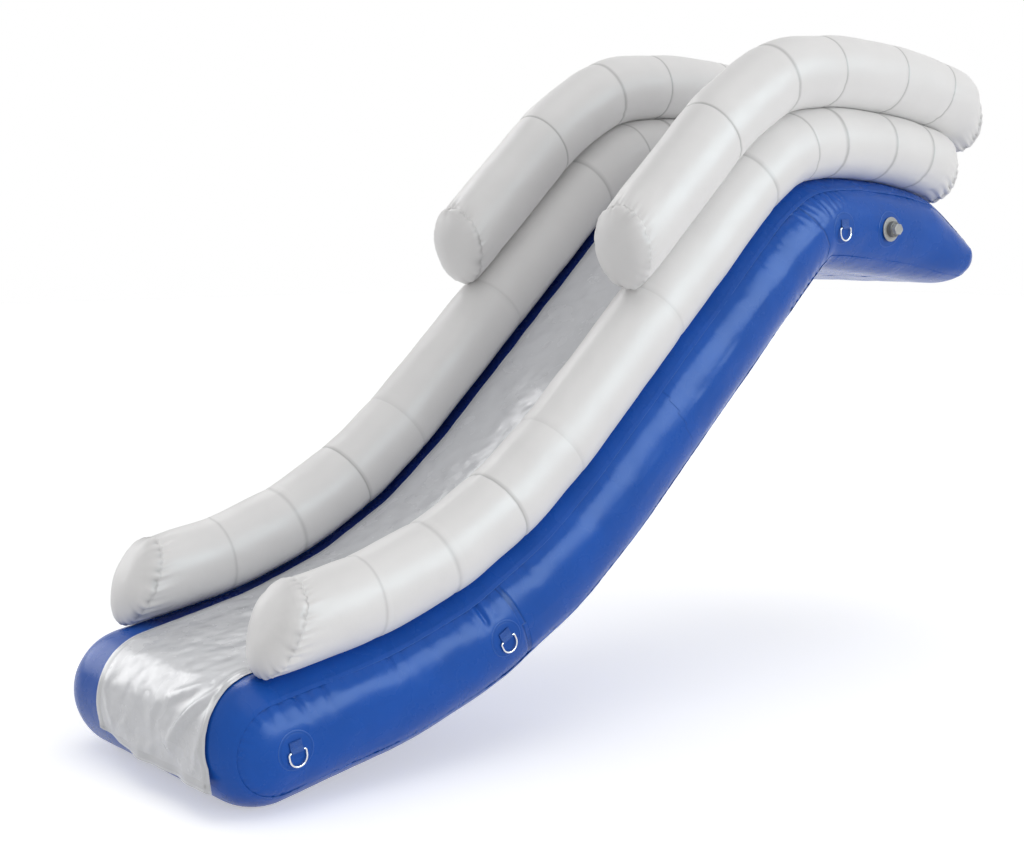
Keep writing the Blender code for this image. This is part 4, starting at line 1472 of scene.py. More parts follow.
            # Darker rim seam: partly dirt in the weld, partly painted shade in its groove.
            marks = np.maximum(marks, bell(gap, 0.003) * np.ones_like(side) * 0.3)
        for touch in self.touches:
            away = turn_gap(self.turns, touch)
            inside = smooth_step(np.minimum(stations, knots[-1] - stations), 0.03, 0.09)
            press = bell(away, 0.13)[None] * inside
            offset = offset * (1 - press) + self.pressed * press
        skin = SkinMesh(self.label("_skin"))
        skin.grid(points + out * offset[..., None], closed=True, marks=marks)
        place_piece(skin.build(), self.finishes.white, [self.label("")])

    def cap(self, end: int) -> None:
        """A puffed end cap.

        Args:
            end: 0 for the front, 1 for the tail.
        """
        index = -1 if end else 0
        puff = self.tail_puff if end else self.front_puff
        way = 1 if end else -1
        cut = self.cuts[end]
        square = np.array((0.0, cut[1], -cut[0])) * way
        crown = np.linspace(0.47, math.pi / 2 - 0.03, 15)
        tilts = np.concatenate((np.linspace(0, 0.42, 14), crown))
        count = len(tilts)
        centres = np.repeat(self.centres[index][None], count, axis=0)
        ups = np.repeat(self.ups[index][None], count, axis=0)
        full, out = self.ring(centres, ups, np.full(count, self.sizes[index]))
        cosine, sine = np.cos(tilts)[:, None, None], np.sin(tilts)[:, None, None]
        reach = (full - centres[:, None]) * cosine**0.94
        points = centres[:, None] + reach + square * (sine**0.94 * puff)
        normal = units(out * cosine + square * sine)
        away = (tilts * self.radius)[:, None] * np.ones((1, self.sides))
        dents = self.rims[end].at(self.turns[None], away, 0.044)
        offset = -self.pinch * np.exp(-((away / 0.015) ** 1.5)) - dents
        offset = offset + self.cap_band * plateau(away, (0.0, 0.002), (0.009, 0.011))
        wave = Undulation(self.seed + 9 + end, 0.0012, 0.07, 0.22).at(points)
        fade = np.minimum(cosine[..., 0] ** 0.5 * 3, 1)
        offset = (offset + wave * (1 - bell(away, 0.02))) * fade
        points = points + normal * offset[..., None]
        tip = points[-1].mean(axis=0) + square * 0.0001
        rows = np.concatenate((points, np.repeat(tip[None, None], self.sides, axis=1)))
        # Painted shade in the hollows of the rim dents, deeper dents darker; the rim seam is partly
        # dirt and partly painted shade.
        shade = 0.85 * np.clip(dents / 0.008, 0.0, 1.0) * smooth_step(away, 0.0, 0.010)
        marks = bell(away, 0.003) * 0.2 + shade
        marks = np.concatenate((marks, np.zeros((1, self.sides))))
        name = "tail" if end else "front"
        skin = SkinMesh(self.label(f"_{name}_end"))
        skin.grid(rows, closed=True, marks=marks)
        mesh = skin.build(weld=0.00001)
        place_piece(mesh, self.finishes.cap_white, [self.label(f"_{name}_cap")])

    def build(self) -> None:
        """Make the tube and both caps."""
        self.tube()
        self.cap(0)
        self.cap(1)
        LOG.info("%s rail, %s: tube and two caps", self.level.value, self.hand.label)


# Slide sheet


@dataclass
class SlideSheet:
    """The glossy sheet on the bed, round the nose and hanging free at the water end.

    A fold or crease is given by its start and end (across, and down from the nose's start), its
    height and its half width.
    """

    line: SlideLine
    base: BaseChamber
    finishes: Finishes
    on_bed: Point2 = (-0.300, 0.325)
    at_nose: Point2 = (-0.270, 0.355)
    at_hem: Point2 = (-0.216, 0.430)
    hang: float = 0.030
    dip: float = 0.038
    edge_lift: float = 0.10
    thickness: float = 0.0012
    ride: float = 0.0008
    band: float = 0.0007
    band_tuck: float = 0.0001
    columns: int = 86
    folds: tuple = (
        ((0.350, 0.080), (0.195, 0.300), 0.016, 0.020),
        ((0.300, 0.060), (0.140, 0.160), 0.008, 0.020),
        ((0.310, -0.050), (0.350, 0.090), 0.006, 0.020),
    )
    small_folds: tuple = (
        ((0.372, 0.110), (0.225, 0.325), -0.0035, 0.010),
        ((0.240, 0.230), (0.060, 0.330), 0.0040, 0.016),
        ((0.120, 0.300), (-0.060, 0.335), 0.0028, 0.012),
        ((0.395, 0.190), (0.330, 0.345), 0.0045, 0.013),
        ((0.265, 0.020), (0.120, 0.075), 0.0022, 0.010),
        ((-0.225, 0.140), (-0.120, 0.315), 0.0030, 0.014),
        ((0.010, 0.215), (-0.100, 0.300), 0.0018, 0.012),
    )
    creases: tuple = (
        ((0.280, -0.62), (0.150, -0.50), 0.0026, 0.010),
        ((-0.245, -0.95), (-0.090, -0.86), 0.0022, 0.010),
        ((0.250, -1.34), (0.020, -1.42), 0.0026, 0.012),
        ((-0.020, -1.50), (0.210, -1.63), 0.0022, 0.010),
        ((-0.255, -1.66), (-0.110, -1.72), 0.0022, 0.009),
        ((0.255, -1.86), (0.050, -1.95), 0.0026, 0.011),
        ((-0.160, -2.05), (0.080, -2.16), 0.0024, 0.010),
        ((0.270, -2.28), (0.130, -2.41), 0.0026, 0.010),
        ((-0.240, -2.52), (0.000, -2.61), 0.0022, 0.012),
        ((0.240, -0.30), (0.060, -0.24), 0.0020, 0.010),
    )

    def fold_height(self, x: Array, run: Array) -> Array:
        """Height of all the folds and creases.

        Args:
            x: Places across the sheet.
            run: Distance down from the nose's start, negative on the bed.

        Returns:
            Heights in metres.
        """
        lift = np.zeros(np.broadcast(x, run).shape)
        for start, end, height, width in (*self.folds, *self.small_folds, *self.creases):
            line = np.subtract(end, start)
            length = float(np.hypot(*line))
            dx, dr = x - start[0], run - start[1]
            travel = (dx * line[0] + dr * line[1]) / length**2
            aside = (dx * line[1] - dr * line[0]) / length
            fade = np.maximum(0.0, 1 - np.abs(2 * travel - 1) ** 3)
            lift = lift + height * fade * bell(aside, width)
        return lift

    def path(self) -> tuple[Array, Array, Array, Array]:
        """Rows of the sheet from the deck end to the hem.

        Returns:
            Middle point, surface point, run and share of hang of each row.
        """
        line = self.line
        rising = gore_places(line.chain_lengths, 0.0105, ((0.0, 0.45, 0.0085),))
        places = rising[rising <= line.tail_start][::-1]
        top, _, middle = line.chains(places)
        run = -line.stations(places)
        centre, radius = line.nose_centre, line.nose_radius
        turns = np.linspace(0, math.pi / 2, 36)[1:]
        square = line.slopes[0] + math.pi / 2
        nose = np.array([centre + along(square + turn) * radius for turn in turns])
        shares = np.linspace(0, 1, 10)[1:]
        hem = np.repeat(nose[-1:], len(shares), axis=0)
        end = radius * math.pi / 2
        points = np.vstack((top, nose, hem))
        middles = np.vstack((middle, np.repeat(centre[None], len(turns) + len(shares), axis=0)))
        runs = np.concatenate((run, radius * turns, end + (self.hang + self.dip) * shares))
        hangs = np.concatenate((np.zeros(len(run) + len(turns)), shares))
        return middles, points, runs, hangs

    def edges(self, runs: Array) -> tuple[Array, Array]:
        """Where the sheet's long edges lie.

        Args:
            runs: Distance down from the nose's start of each row.

        Returns:
            Place across of the far edge and of the near edge.
        """
        hem = self.line.nose_radius * math.pi / 2 + self.hang + self.dip
        foot = self.line.lengths[0]
        down = np.clip(runs / hem, 0, 1)
        bed = np.clip(1 + runs / foot, 0, 1)
        pairs = []
        for on_bed, nose, end in zip(self.on_bed, self.at_nose, self.at_hem):
            above = on_bed + (nose - on_bed) * bed
            pairs.append(np.where(runs < 0, above, nose + (end - nose) * down))
        return pairs[0], pairs[1]

    def surface(self) -> tuple[Array, Array]:
        """The sheet's under and upper surfaces.

        Returns:
            The two grids of points, indexed by row and column.
        """
        middles, points, runs, hangs = self.path()
        shares = np.linspace(0, 1, self.columns)
        far, near = self.edges(runs)
        ragged = 0.0016 * np.sin(runs * 17 + 0.6) + 0.0011 * np.sin(runs * 41)
        far, near = far + ragged, near + ragged[::-1]
        x = far[:, None] + (near - far)[:, None] * shares[None]
        run = runs[:, None] * np.ones_like(x)
        past = np.maximum(0.0, x - self.base.core)
        lift = np.maximum(self.fold_height(x, run), 0.0) + self.edge_lift * past
        edge = np.minimum(x - far[:, None], near[:, None] - x)
        puff = 0.0010 * bell(edge - 0.012, 0.010)
        place = np.stack((x, run, 0 * x), -1)
        wave = Undulation(77, 0.00055, 0.05, 0.26, 20).at(place)
        fine = Undulation(78, 0.00022, 0.03, 0.09, 16).at(place * (1.0, 0.6, 1.0))
        lift = lift + np.clip(wave + fine + 0.0010, 0.0, None) + puff
        drop = hangs[:, None] * (self.hang + self.dip * (1 - (1 - shares[None]) ** 4))
        sway = hangs[:, None] * (0.006 * np.sin(x * 19 + 0.8) + 0.003 * np.sin(x * 47))
        reach = (points - middles)[:, None]
        out = units(reach)
        shrink = self.base.shrink_at(x)[..., None]
        flat = middles[:, None] + reach * shrink + out * (self.ride + lift + sway)[..., None]
        flat = flat - np.stack((0 * drop, drop), -1)
        under = lift_points(x, flat)
        normal = units(np.cross(np.gradient(under, axis=0), np.gradient(under, axis=1)))
        normal *= np.sign((normal[..., 1:] * out).sum(-1, keepdims=True).mean())
        return under, under + normal * self.thickness

    def build(self) -> bpy.types.Object:
        """Make the sheet and its welded hem bands.

        Returns:
            The sheet.
        """
        under, upper = self.surface()
        skin = SkinMesh("slide_sheet_cloth")
        loop = np.concatenate((under, upper[:, ::-1]), axis=1)
        skin.grid(loop, closed=True)
        for end in (0, -1):
            skin.grid(np.stack((under[end], upper[end])))
        mesh = skin.build(weld=0.00001, sharp=50)
        piece = place_piece(mesh, self.finishes.sheet, ["slide_sheet"])
        bands = self.hems(upper)
        return piece

    def hems(self, upper: Array) -> bpy.types.Object:
        """Narrow doubled bands along the sheet's long edges and its hem.

        Args:
            upper: The sheet's upper surface.

        Returns:
            The bands, as one piece.
        """
        normal = units(np.cross(np.gradient(upper, axis=0), np.gradient(upper, axis=1)))
        normal *= -1 if normal[5, 5, 2] < 0 else 1
        skin = SkinMesh("sheet_hem_bands")
        lifts = np.array([0.0, self.band, self.band, 0.0]) - self.band_tuck
        for columns in (slice(1, 5), slice(self.columns - 5, self.columns - 1)):
            skin.grid(upper[:, columns] + normal[:, columns] * lifts[None, :, None])
        skin.grid(upper[-5:-1] + normal[-5:-1] * lifts[:, None, None])
        return place_piece(skin.build(), self.finishes.hem)


# Fittings


def side_frame(spot: Point3, hand: Hand, out: float) -> Matrix:
    """Frame on a side: X along it, Y up it, Z out of it.

    Args:
        spot: y, z and slope in degrees.
        hand: The side.
        out: Distance of the frame from the centre plane.

    Returns:
        The frame.
    """
    run, up = along(math.radians(spot[2])), upward(math.radians(spot[2]))
    x_axis = Vector((0.0, run[0], run[1])) * hand.value
    axes = (x_axis, Vector((0.0, up[0], up[1])), Vector((hand.value, 0.0, 0.0)))
    turn = Matrix(axes).transposed().to_4x4()
    return Matrix.Translation((hand.value * out, spot[0], spot[1])) @ turn


@dataclass
class PatchDisc:
    """A round patch welded on a side panel, bent as the panel is."""

    base: BaseChamber
    spot: Point3
    hand: Hand
    radius: float
    name: str
    node: str
    hole: float = 0.0
    lift: float = 0.0003
    thickness: float = 0.0012
    weld_line: float = 0.0065
    steps: int = 96

    def build(self, material: Material) -> None:
        """Make the patch.

        Args:
            material: Its finish.
        """
        rim = self.radius
        line = rim - self.weld_line
        radii = [0.0006, *np.linspace(0.006, line - 0.004, 9)]
        radii += [line + step for step in (-0.0022, -0.0012, 0.0, 0.0012, 0.0022)]
        radii += [rim - step for step in (0.0016, 0.0007, 0.0002, 0.0)]
        radii = np.array([radius for radius in radii if radius > self.hole])
        if self.hole:
            radii = np.array([self.hole, self.hole + 0.0005, *radii])
        turns = round_turns(self.steps)
        high = np.full(len(radii), self.lift + self.thickness)
        high = high - 0.0004 * bell(radii - line, 0.0011)
        high = high - 0.0008 * smooth_step(radii, rim - 0.0010, rim)
        run, up = along(math.radians(self.spot[2])), upward(math.radians(self.spot[2]))
        u, v = np.cos(turns)[None] * radii[:, None], np.sin(turns)[None] * radii[:, None]
        flat = np.array(self.spot[:2]) + u[..., None] * run + v[..., None] * up
        face = self.base.side_x(flat)
        wave = 0.00012 * np.sin(turns * 3 + self.spot[0] * 9)[None] * (radii / rim)[:, None]
        x = self.hand.value * (face + high[:, None] + wave)
        rows = lift_points(x, flat)
        low = lift_points(self.hand.value * (face[-1:] - 0.0012), flat[-1:])
        rows = np.concatenate((rows, low))
        marks = np.zeros(rows.shape[:2])
        # Darker on the weld ring (partly dirt, partly painted shade) and pale on the rim (partly
        # the fabric's lighter core, partly a painted highlight).
        tone = bell(radii - line, 0.0013) * 0.8 - bell(radii - rim, 0.0013)
        marks[: len(radii)] = tone[:, None]
        # Pale on the patch's cut edge: partly the fabric's lighter core, partly a painted
        # highlight.
        marks[-1] = -0.6
        skin = SkinMesh(self.name)
        skin.grid(rows, closed=True, marks=marks)
        place_piece(skin.build(sharp=60), material, [self.node])


@dataclass
class LashingPoint:
    """A patch with a sewn strap and the steel D-ring that hangs in it."""

    base: BaseChamber
    finishes: Finishes
    place: str
    hand: Hand
    width: float = 0.062
    depth: float = 0.050
    wire: float = 0.0055
    bead: float = 0.00006
    strap: float = 0.0016
    strap_width: float = 0.040
    strap_tail: float = 0.030
    stitch_length: float = 0.0040
    running: float = 0.0004
    bar_out: float = 0.535424

    def __post_init__(self) -> None:
        """Find the bar's frame."""
        self.label = f"{self.place}_{self.hand.label}"
        self.frame_here = side_frame(RING_PLACES[self.place], self.hand, self.bar_out)

    def ring_path(self) -> Array:
        """Centre line of the D-ring: a bar and a deep round bow.

        Returns:
            Points, with X along the bar and Y up.
        """
        half, corner = (self.width - self.wire) / 2, self.wire
        leg, bend = self.depth - self.wire - half, half - corner
        points = [(x, 0.0) for x in np.linspace(-bend, bend, 10)[:-1]]
        for turn in np.linspace(math.pi / 2, 0, 7)[:-1]:
            points.append((bend + corner * math.cos(turn), -corner + corner * math.sin(turn)))
        points += [(half, y) for y in np.linspace(-corner, -leg, 4)[:-1]]
        for turn in np.linspace(0, math.pi, 44):
            points.append((half * math.cos(turn), -leg - half * math.sin(turn)))
        points += [(-half, y) for y in np.linspace(-leg, -corner, 4)[1:]]
        for turn in np.linspace(math.pi, math.pi / 2, 7)[1:-1]:
            points.append((-bend + corner * math.cos(turn), -corner + corner * math.sin(turn)))
        return np.array([(x, y, 0.0) for x, y in points])

    def ring(self) -> None:
        """The D-ring, which rides on its own body."""
        path = self.ring_path()
        tangent = units(np.roll(path, -1, axis=0) - np.roll(path, 1, axis=0))
        side = np.cross(tangent, (0.0, 0.0, 1.0))
        turns = round_turns(16)
        radius = np.full(len(path), self.wire / 2)
        radius[3:6] += self.bead
        cosine, sine = np.cos(turns)[None, :, None], np.sin(turns)[None, :, None]
        reach = side[:, None] * cosine + np.array((0, 0, 1.0)) * sine
        skin = SkinMesh(f"d_ring_{self.label}")
        skin.grid(path[:, None] + reach * radius[:, None, None], closed=True, ring=True)
        node = f"ring_{self.label}"
        place_piece(skin.build(), self.finishes.steel, [node], node, self.frame_here)

    def strap_path(self) -> Array:
        """Middle line of the strap in (out, up): down the patch, round the bar and back up.

        Returns:
            Points of the path.
        """
        loop = self.wire / 2 + self.running + self.strap
        near = -loop + self.strap / 2
        over = near + self.strap + 0.00005
        radius = loop - self.strap / 2
        points = [(near, y) for y in np.linspace(self.strap_tail, 0.0, 9)]
        for turn in np.linspace(math.pi, 2 * math.pi + math.radians(62), 26)[1:]:
            points.append((radius * math.cos(turn), radius * math.sin(turn)))
        last = points[-1]
        blend_top = 2.15 * loop
        for share in np.linspace(0, 1, 7)[1:]:
            ease = share * share * (3 - 2 * share)
            out = last[0] + (over - last[0]) * ease
            points.append((out, last[1] + (blend_top - last[1]) * share))
        points += [(over, y) for y in np.linspace(blend_top, self.strap_tail - 0.0008, 6)[1:]]
        return np.array(points)

    def sew(self) -> None:
        """The strap and its stitches."""
        path = self.strap_path()
        tangent = units(np.gradient(path, axis=0))
        square = np.column_stack((tangent[:, 1], -tangent[:, 0]))
        spread = np.array([0.2, 0.6, 0.9, 0.97, 1])
        widths = self.strap_width / 2 * np.concatenate((-spread[::-1], spread))
        thick = np.array([0.96, 0.94, 1, 0.92, 0.55])
        half = self.strap * 0.47 * np.concatenate((thick[::-1], thick))
        faces = []
        for sign in (1, -1):
            flat = path[:, None] + square[:, None] * (sign * half)[None, :, None]
            x = np.broadcast_to(widths[None], flat.shape[:2])
            faces.append(np.stack((x, flat[..., 1], flat[..., 0]), -1))
        skin = SkinMesh(f"strap_{self.label}")
        skin.grid(np.concatenate((faces[0], faces[1][:, ::-1]), axis=1), closed=True)
        for end in (0, -1):
            skin.grid(np.stack((faces[0][end], faces[1][end])))
        mesh = skin.build(weld=0.000002, sharp=60)
        nodes = [f"ring_strap_{self.label}"]
        place_piece(mesh, self.finishes.strap, nodes, BODY, self.frame_here)
        self.stitches(float(path[-1][0]) + self.strap / 2)

    def stitches(self, out: float) -> None:
        """A sewn box on the strap's tail.

        Args:
            out: How far the strap's face stands from the bar's middle.
        """
        low, high, side = 0.0135, self.strap_tail - 0.0030, self.strap_width / 2 - 0.0035
        corners = [(-side, low), (side, low), (side, high), (-side, high), (-side, low)]
        crossed = [((-side, low), (side, high)), ((side, low), (-side, high))]
        spans = [*zip(corners, corners[1:]), *crossed]
        skin = SkinMesh(f"stitches_{self.label}")
        for start, end in spans:
            start, end = np.array(start), np.array(end)
            length = float(np.linalg.norm(end - start))
            count = max(2, round(length / self.stitch_length))
            way = (end - start) / length
            for number in range(count):
                middle = start + way * length * (number + 0.5) / count
                skin.grid(self.stitch(middle, way, length / count * 0.39, out), closed=True)
        place_piece(skin.build(), self.finishes.thread, (), BODY, self.frame_here)

    @staticmethod
    def stitch(middle: Array, way: Array, half: float, out: float) -> Array:
        """Rings of one stitch, thick in its middle and sunk at its ends.

        Args:
            middle: The stitch's middle on the strap.
            way: Its direction.
            half: Half its length.
            out: Height of the strap's face.

        Returns:
            Points, indexed by ring and side.
        """
        turns = round_turns(6)
        side = np.array((-way[1], way[0]))
        rings = []
        for share, thick in ((-1, 0.25), (-0.6, 0.9), (0, 1.0), (0.6, 0.9), (1, 0.25)):
            radius = 0.00032 * thick
            height = out - 0.00002 + 0.00018 * (1 - share * share)
            centre = middle + way * half * share
            flat = centre[None] + side[None] * (radius * np.cos(turns))[:, None]
            rings.append(np.column_stack((flat, height + radius * np.sin(turns))))
        return np.array(rings)

    def build(self) -> None:
        """Make the whole lashing point."""
        spot = RING_PLACES[self.place]
        names = (f"patch_disc_{self.label}", f"ring_patch_{self.label}")
        patch = PatchDisc(self.base, spot, self.hand, RING_PATCH_RADIUS, *names)
        patch.build(self.finishes.patch)
        self.sew()
        self.ring()
        LOG.info("lashing point, %s %s: patch, strap and D-ring", self.place, self.hand.label)


def turned_mesh(
    name: str,
    profile: Sequence[Point2],
    steps: int,
    ribs: Callable | None = None,
    sharp: float = 38.0,
) -> bpy.types.Mesh:
    """Turn a profile about Z.

    Args:
        name: The mesh's name.
        profile: Points of (radius, height).
        steps: Steps of the turn.
        ribs: Extra radius for a row's height and each turn, or None.
        sharp: Angle above which an edge stays sharp.

    Returns:
        The mesh.
    """
    turns = round_turns(steps)
    rows = []
    for radius, height in profile:
        reach = np.full(steps, radius) + (ribs(radius, height, turns) if ribs else 0.0)
        flat = (reach * np.cos(turns), reach * np.sin(turns))
        rows.append(np.column_stack((*flat, np.full(steps, height))))
    skin = SkinMesh(name)
    skin.grid(np.array(rows), closed=True)
    return skin.build(weld=0.0000005, sharp=sharp)


@dataclass
class InflationValve:
    """The valve: patch, flange with its threaded throat, and the screw cap with its grip."""

    base: BaseChamber
    finishes: Finishes
    face: float = 0.528874
    clear: float = 0.0003
    patch: float = 0.0012
    gasket: float = 0.0015
    flange_radius: float = 0.045
    flange_height: float = 0.004
    throat_radius: float = 0.022
    throat_bore: float = 0.018
    throat_depth: float = 0.024
    collar_radius: float = 0.024
    collar_height: float = 0.0125
    cap_radius: float = 0.029
    cap_top: float = 0.004
    washer: float = 0.0014
    grip_length: float = 0.052
    grip_width: float = 0.038
    grip_height: float = 0.015
    grip_corner: float = 0.0045
    rib_count: int = 40
    rib_depth: float = 0.0007
    thread_pitch: float = 0.0030
    push: float = 0.0062

    def __post_init__(self) -> None:
        """Stack the heights up from the panel."""
        self.low = 3 * self.clear + self.patch + self.gasket
        self.high = self.low + self.flange_height
        self.collar = self.high + self.collar_height
        self.ceiling = self.collar + 2 * self.clear + self.washer
        self.roof = self.ceiling + self.cap_top
        self.frame_here = side_frame(VALVE_PLACE, Hand.RIGHT, self.face)

    def body(self) -> None:
        """The flange and its throat, with a thread on the collar."""
        low, high = self.low, self.high
        rim = self.flange_radius
        profile = [(self.throat_bore, self.collar), (self.collar_radius - 0.0008, self.collar)]
        profile.append((self.collar_radius, self.collar - 0.0008))
        pitch = self.thread_pitch
        height = self.collar - 0.0012
        while height - pitch > high + 0.0008:
            for drop, cut in ((0.0, 0.0), (0.35, 0.0), (0.50, 0.0011), (0.85, 0.0011)):
                profile.append((self.collar_radius - cut, height - pitch * drop))
            height -= pitch
        profile.append((self.collar_radius - 0.0011, high + 0.0006))
        profile.append((self.collar_radius + 0.0006, high))
        rings = ((0.0312, 0.0), (0.0318, -0.0007), (0.0328, -0.0007), (0.0334, 0.0))
        profile += [(radius, high + rise) for radius, rise in rings]
        steps = ((0.0052, 0.0), (0.0046, -0.0005), (0.0040, 0.0), (0.0014, 0.0))
        steps += ((0.0004, -0.0004), (0.0, -0.0014))
        profile += [(rim - inset, high + rise) for inset, rise in steps]
        profile += [(rim, low + 0.0006), (rim - 0.0005, low)]
        profile += [(self.throat_radius, low), (self.throat_radius, -self.throat_depth)]
        profile += [(self.throat_bore, -self.throat_depth), (self.throat_bore, self.collar)]
        mesh = turned_mesh("valve_flange", profile, 120)
        finish = self.finishes.plastic
        place_piece(mesh, finish, ["valve_body"], BODY, self.frame_here)

    def cap_ribs(self, radius: float, height: float, turns: Array) -> Array:
        """Grip ribs round the cap's skirt.

        Args:
            radius: Radius of a row of the cap.
            height: Height of the row.
            turns: Angles round it.

        Returns:
            What the ribs add to the radius.
        """
        if radius <= self.cap_radius - 0.0004:
            return np.zeros_like(turns)
        if not self.high + 0.002 < height < self.roof - 0.002:
            return np.zeros_like(turns)
        return -self.rib_depth * (0.5 + 0.5 * np.cos(turns * self.rib_count)) ** 0.6

    def cap(self) -> None:
        """The screw cap, which rides on its own body."""
        radius, roof = self.cap_radius, self.roof
        foot = self.high + 2 * self.clear
        steps = ((0.0085, 0.0), (0.0080, 0.0005), (0.0066, 0.0005), (0.0060, 0.0), (0.0020, 0.0))
        steps += ((0.0008, 0.0005), (0.0002, 0.0014), (0.0, 0.0023), (0.0, 0.0030))
        profile = [
            (0.0, roof),
            *[(radius - inset, roof - drop) for inset, drop in steps],
            *[(radius, foot + rise) for rise in (0.0026, 0.0018, 0.0006)],
            (radius - 0.0005, foot),
            (self.collar_radius + 0.0009, foot),
            (self.collar_radius + 0.0004, foot + 0.0005),
            (self.collar_radius + 0.0004, self.ceiling),
            (0.0, self.ceiling),
        ]
        mesh = turned_mesh("screw_cap", profile, 240, self.cap_ribs, 34.0)
        finish = self.finishes.cap_plastic
        place_piece(mesh, finish, ["valve_cap"], "valve_cap", self.frame_here)
        self.grip()

    def grip(self) -> None:
        """The cap's six-sided grip, round at its corners and dished on its face."""
        tip, flank = self.grip_length / 2, self.grip_width / 2
        half = tip / 2
        upper = ((tip, 0), (half, flank), (-half, flank))
        corners = np.array((*upper, *((-x, -y) for x, y in upper)))
        before, after = np.roll(corners, 1, axis=0), np.roll(corners, -1, axis=0)
        outline = []
        for corner, ahead, behind in zip(corners, before, after):
            first = corner + units(ahead - corner) * self.grip_corner
            last = corner + units(behind - corner) * self.grip_corner
            for share in np.linspace(0, 1, 8):
                middle = 2 * share * (1 - share) * corner
                outline.append((1 - share) ** 2 * first + middle + share**2 * last)
        outline = np.array(outline)
        high = self.roof + self.grip_height
        rows = []
        for height, inset in (
            (self.roof - 0.0008, 0.0),
            (self.roof + 0.0004, 0.0),
            (self.roof + 0.0016, 0.0006),
            (high - 0.0034, 0.0006),
            (high - 0.0026, 0.0),
            (high - 0.0010, 0.0),
            (high - 0.0003, 0.0004),
            (high, 0.0012),
            (high, 0.0032),
            (high - 0.0003, 0.0037),
            (high - 0.0012, 0.0044),
            (high - 0.0014, 0.0060),
            (high - 0.0014, flank * 0.98),
        ):
            flat = outline * (1 - inset / flank)
            rows.append(np.column_stack((flat, np.full(len(flat), height))))
        skin = SkinMesh("cap_grip")
        skin.grid(np.array(rows), closed=True)
        mesh = skin.build(sharp=50)
        place_piece(mesh, self.finishes.plastic, (), "valve_cap", self.frame_here)

    def spring(self) -> None:
        """The poppet's return spring, copied smooth-shaded from the imported coil."""
        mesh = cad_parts["valve_spring"].data.copy()
        mesh.name = "valve_spring_coil"
        mesh.materials.clear()
        mesh.shade_smooth()
        piece = place_piece(mesh, self.finishes.steel, ["valve_spring"])
        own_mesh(piece)

    def build(self) -> None:
        """Make the valve and dress its inner nodes."""
        hole = self.throat_radius + 0.0004
        names = ("valve_patch_disc", "valve_patch")
        spot = (VALVE_PLACE, Hand.RIGHT, VALVE_PATCH_RADIUS)
        PatchDisc(self.base, *spot, *names, hole).build(self.finishes.patch)
        self.body()
        self.cap()
        inner = {
            "valve_gasket": self.finishes.rubber,
            "cap_washer": self.finishes.rubber,
            "valve_nut": self.finishes.inner_plastic,
            "valve_spider": self.finishes.inner_plastic,
            "valve_poppet": self.finishes.inner_plastic,
        }
        for node, material in inner.items():
            dress_node(node, material)
        self.spring()
        LOG.info("valve: patch, flange, screw cap and %d inner parts", len(inner))


def dress_node(node: str, material: Material) -> None:
    """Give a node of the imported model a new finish.

    Args:
        node: The node's name.
        material: Its finish.
    """
    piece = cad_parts[node]
    for slot in piece.material_slots:
        slot.material = material


# Studio


@dataclass(frozen=True)
class Lamp:
    """A lamp of the studio: its name, and its strength or watts."""

    name: str
    energy: float

    def hang(self, kind: str, way: Vector, **settings: object) -> bpy.types.Object:
        """Put the lamp in the scene.

        Args:
            kind: Its kind of light.
            way: The direction in which it shines.
            settings: The light's own settings.

        Returns:
            The lamp.
        """
        data = bpy.data.lights.new(self.name, kind)
        data.energy = self.energy
        for key, value in settings.items():
            setattr(data, key, value)
        piece = bpy.data.objects.new(self.name, data)
        piece.rotation_mode = "QUATERNION"
        piece.rotation_quaternion = way.to_track_quat("-Z", "Y")
        bpy.context.scene.collection.objects.link(piece)
        return piece


@dataclass(frozen=True)
class Sun(Lamp):
    """A broad distant light: its way, its width in degrees, and if glossy surfaces show it."""

    way: Point3
    angle: float
    shines: bool = False

    def build(self) -> None:
        """Make the light."""
        piece = self.hang("SUN", Vector(self.way), angle=math.radians(self.angle))
        piece.visible_glossy = self.shines


@dataclass(frozen=True)
class Reflector(Lamp):
    """A soft rectangular lamp that only shows as a shine on glossy fabric."""

    spot: Point3
    target: Point3
    size: Point2
    tint: Color = (1.0, 1.0, 1.0)

    def build(self) -> None:
        """Make the light."""
        sizes = {"shape": "RECTANGLE", "size": self.size[0], "size_y": self.size[1]}
        way = Vector(self.target) - Vector(self.spot)
        piece = self.hang("AREA", way, color=self.tint, **sizes)
        piece.location = self.spot
        piece.visible_diffuse = False


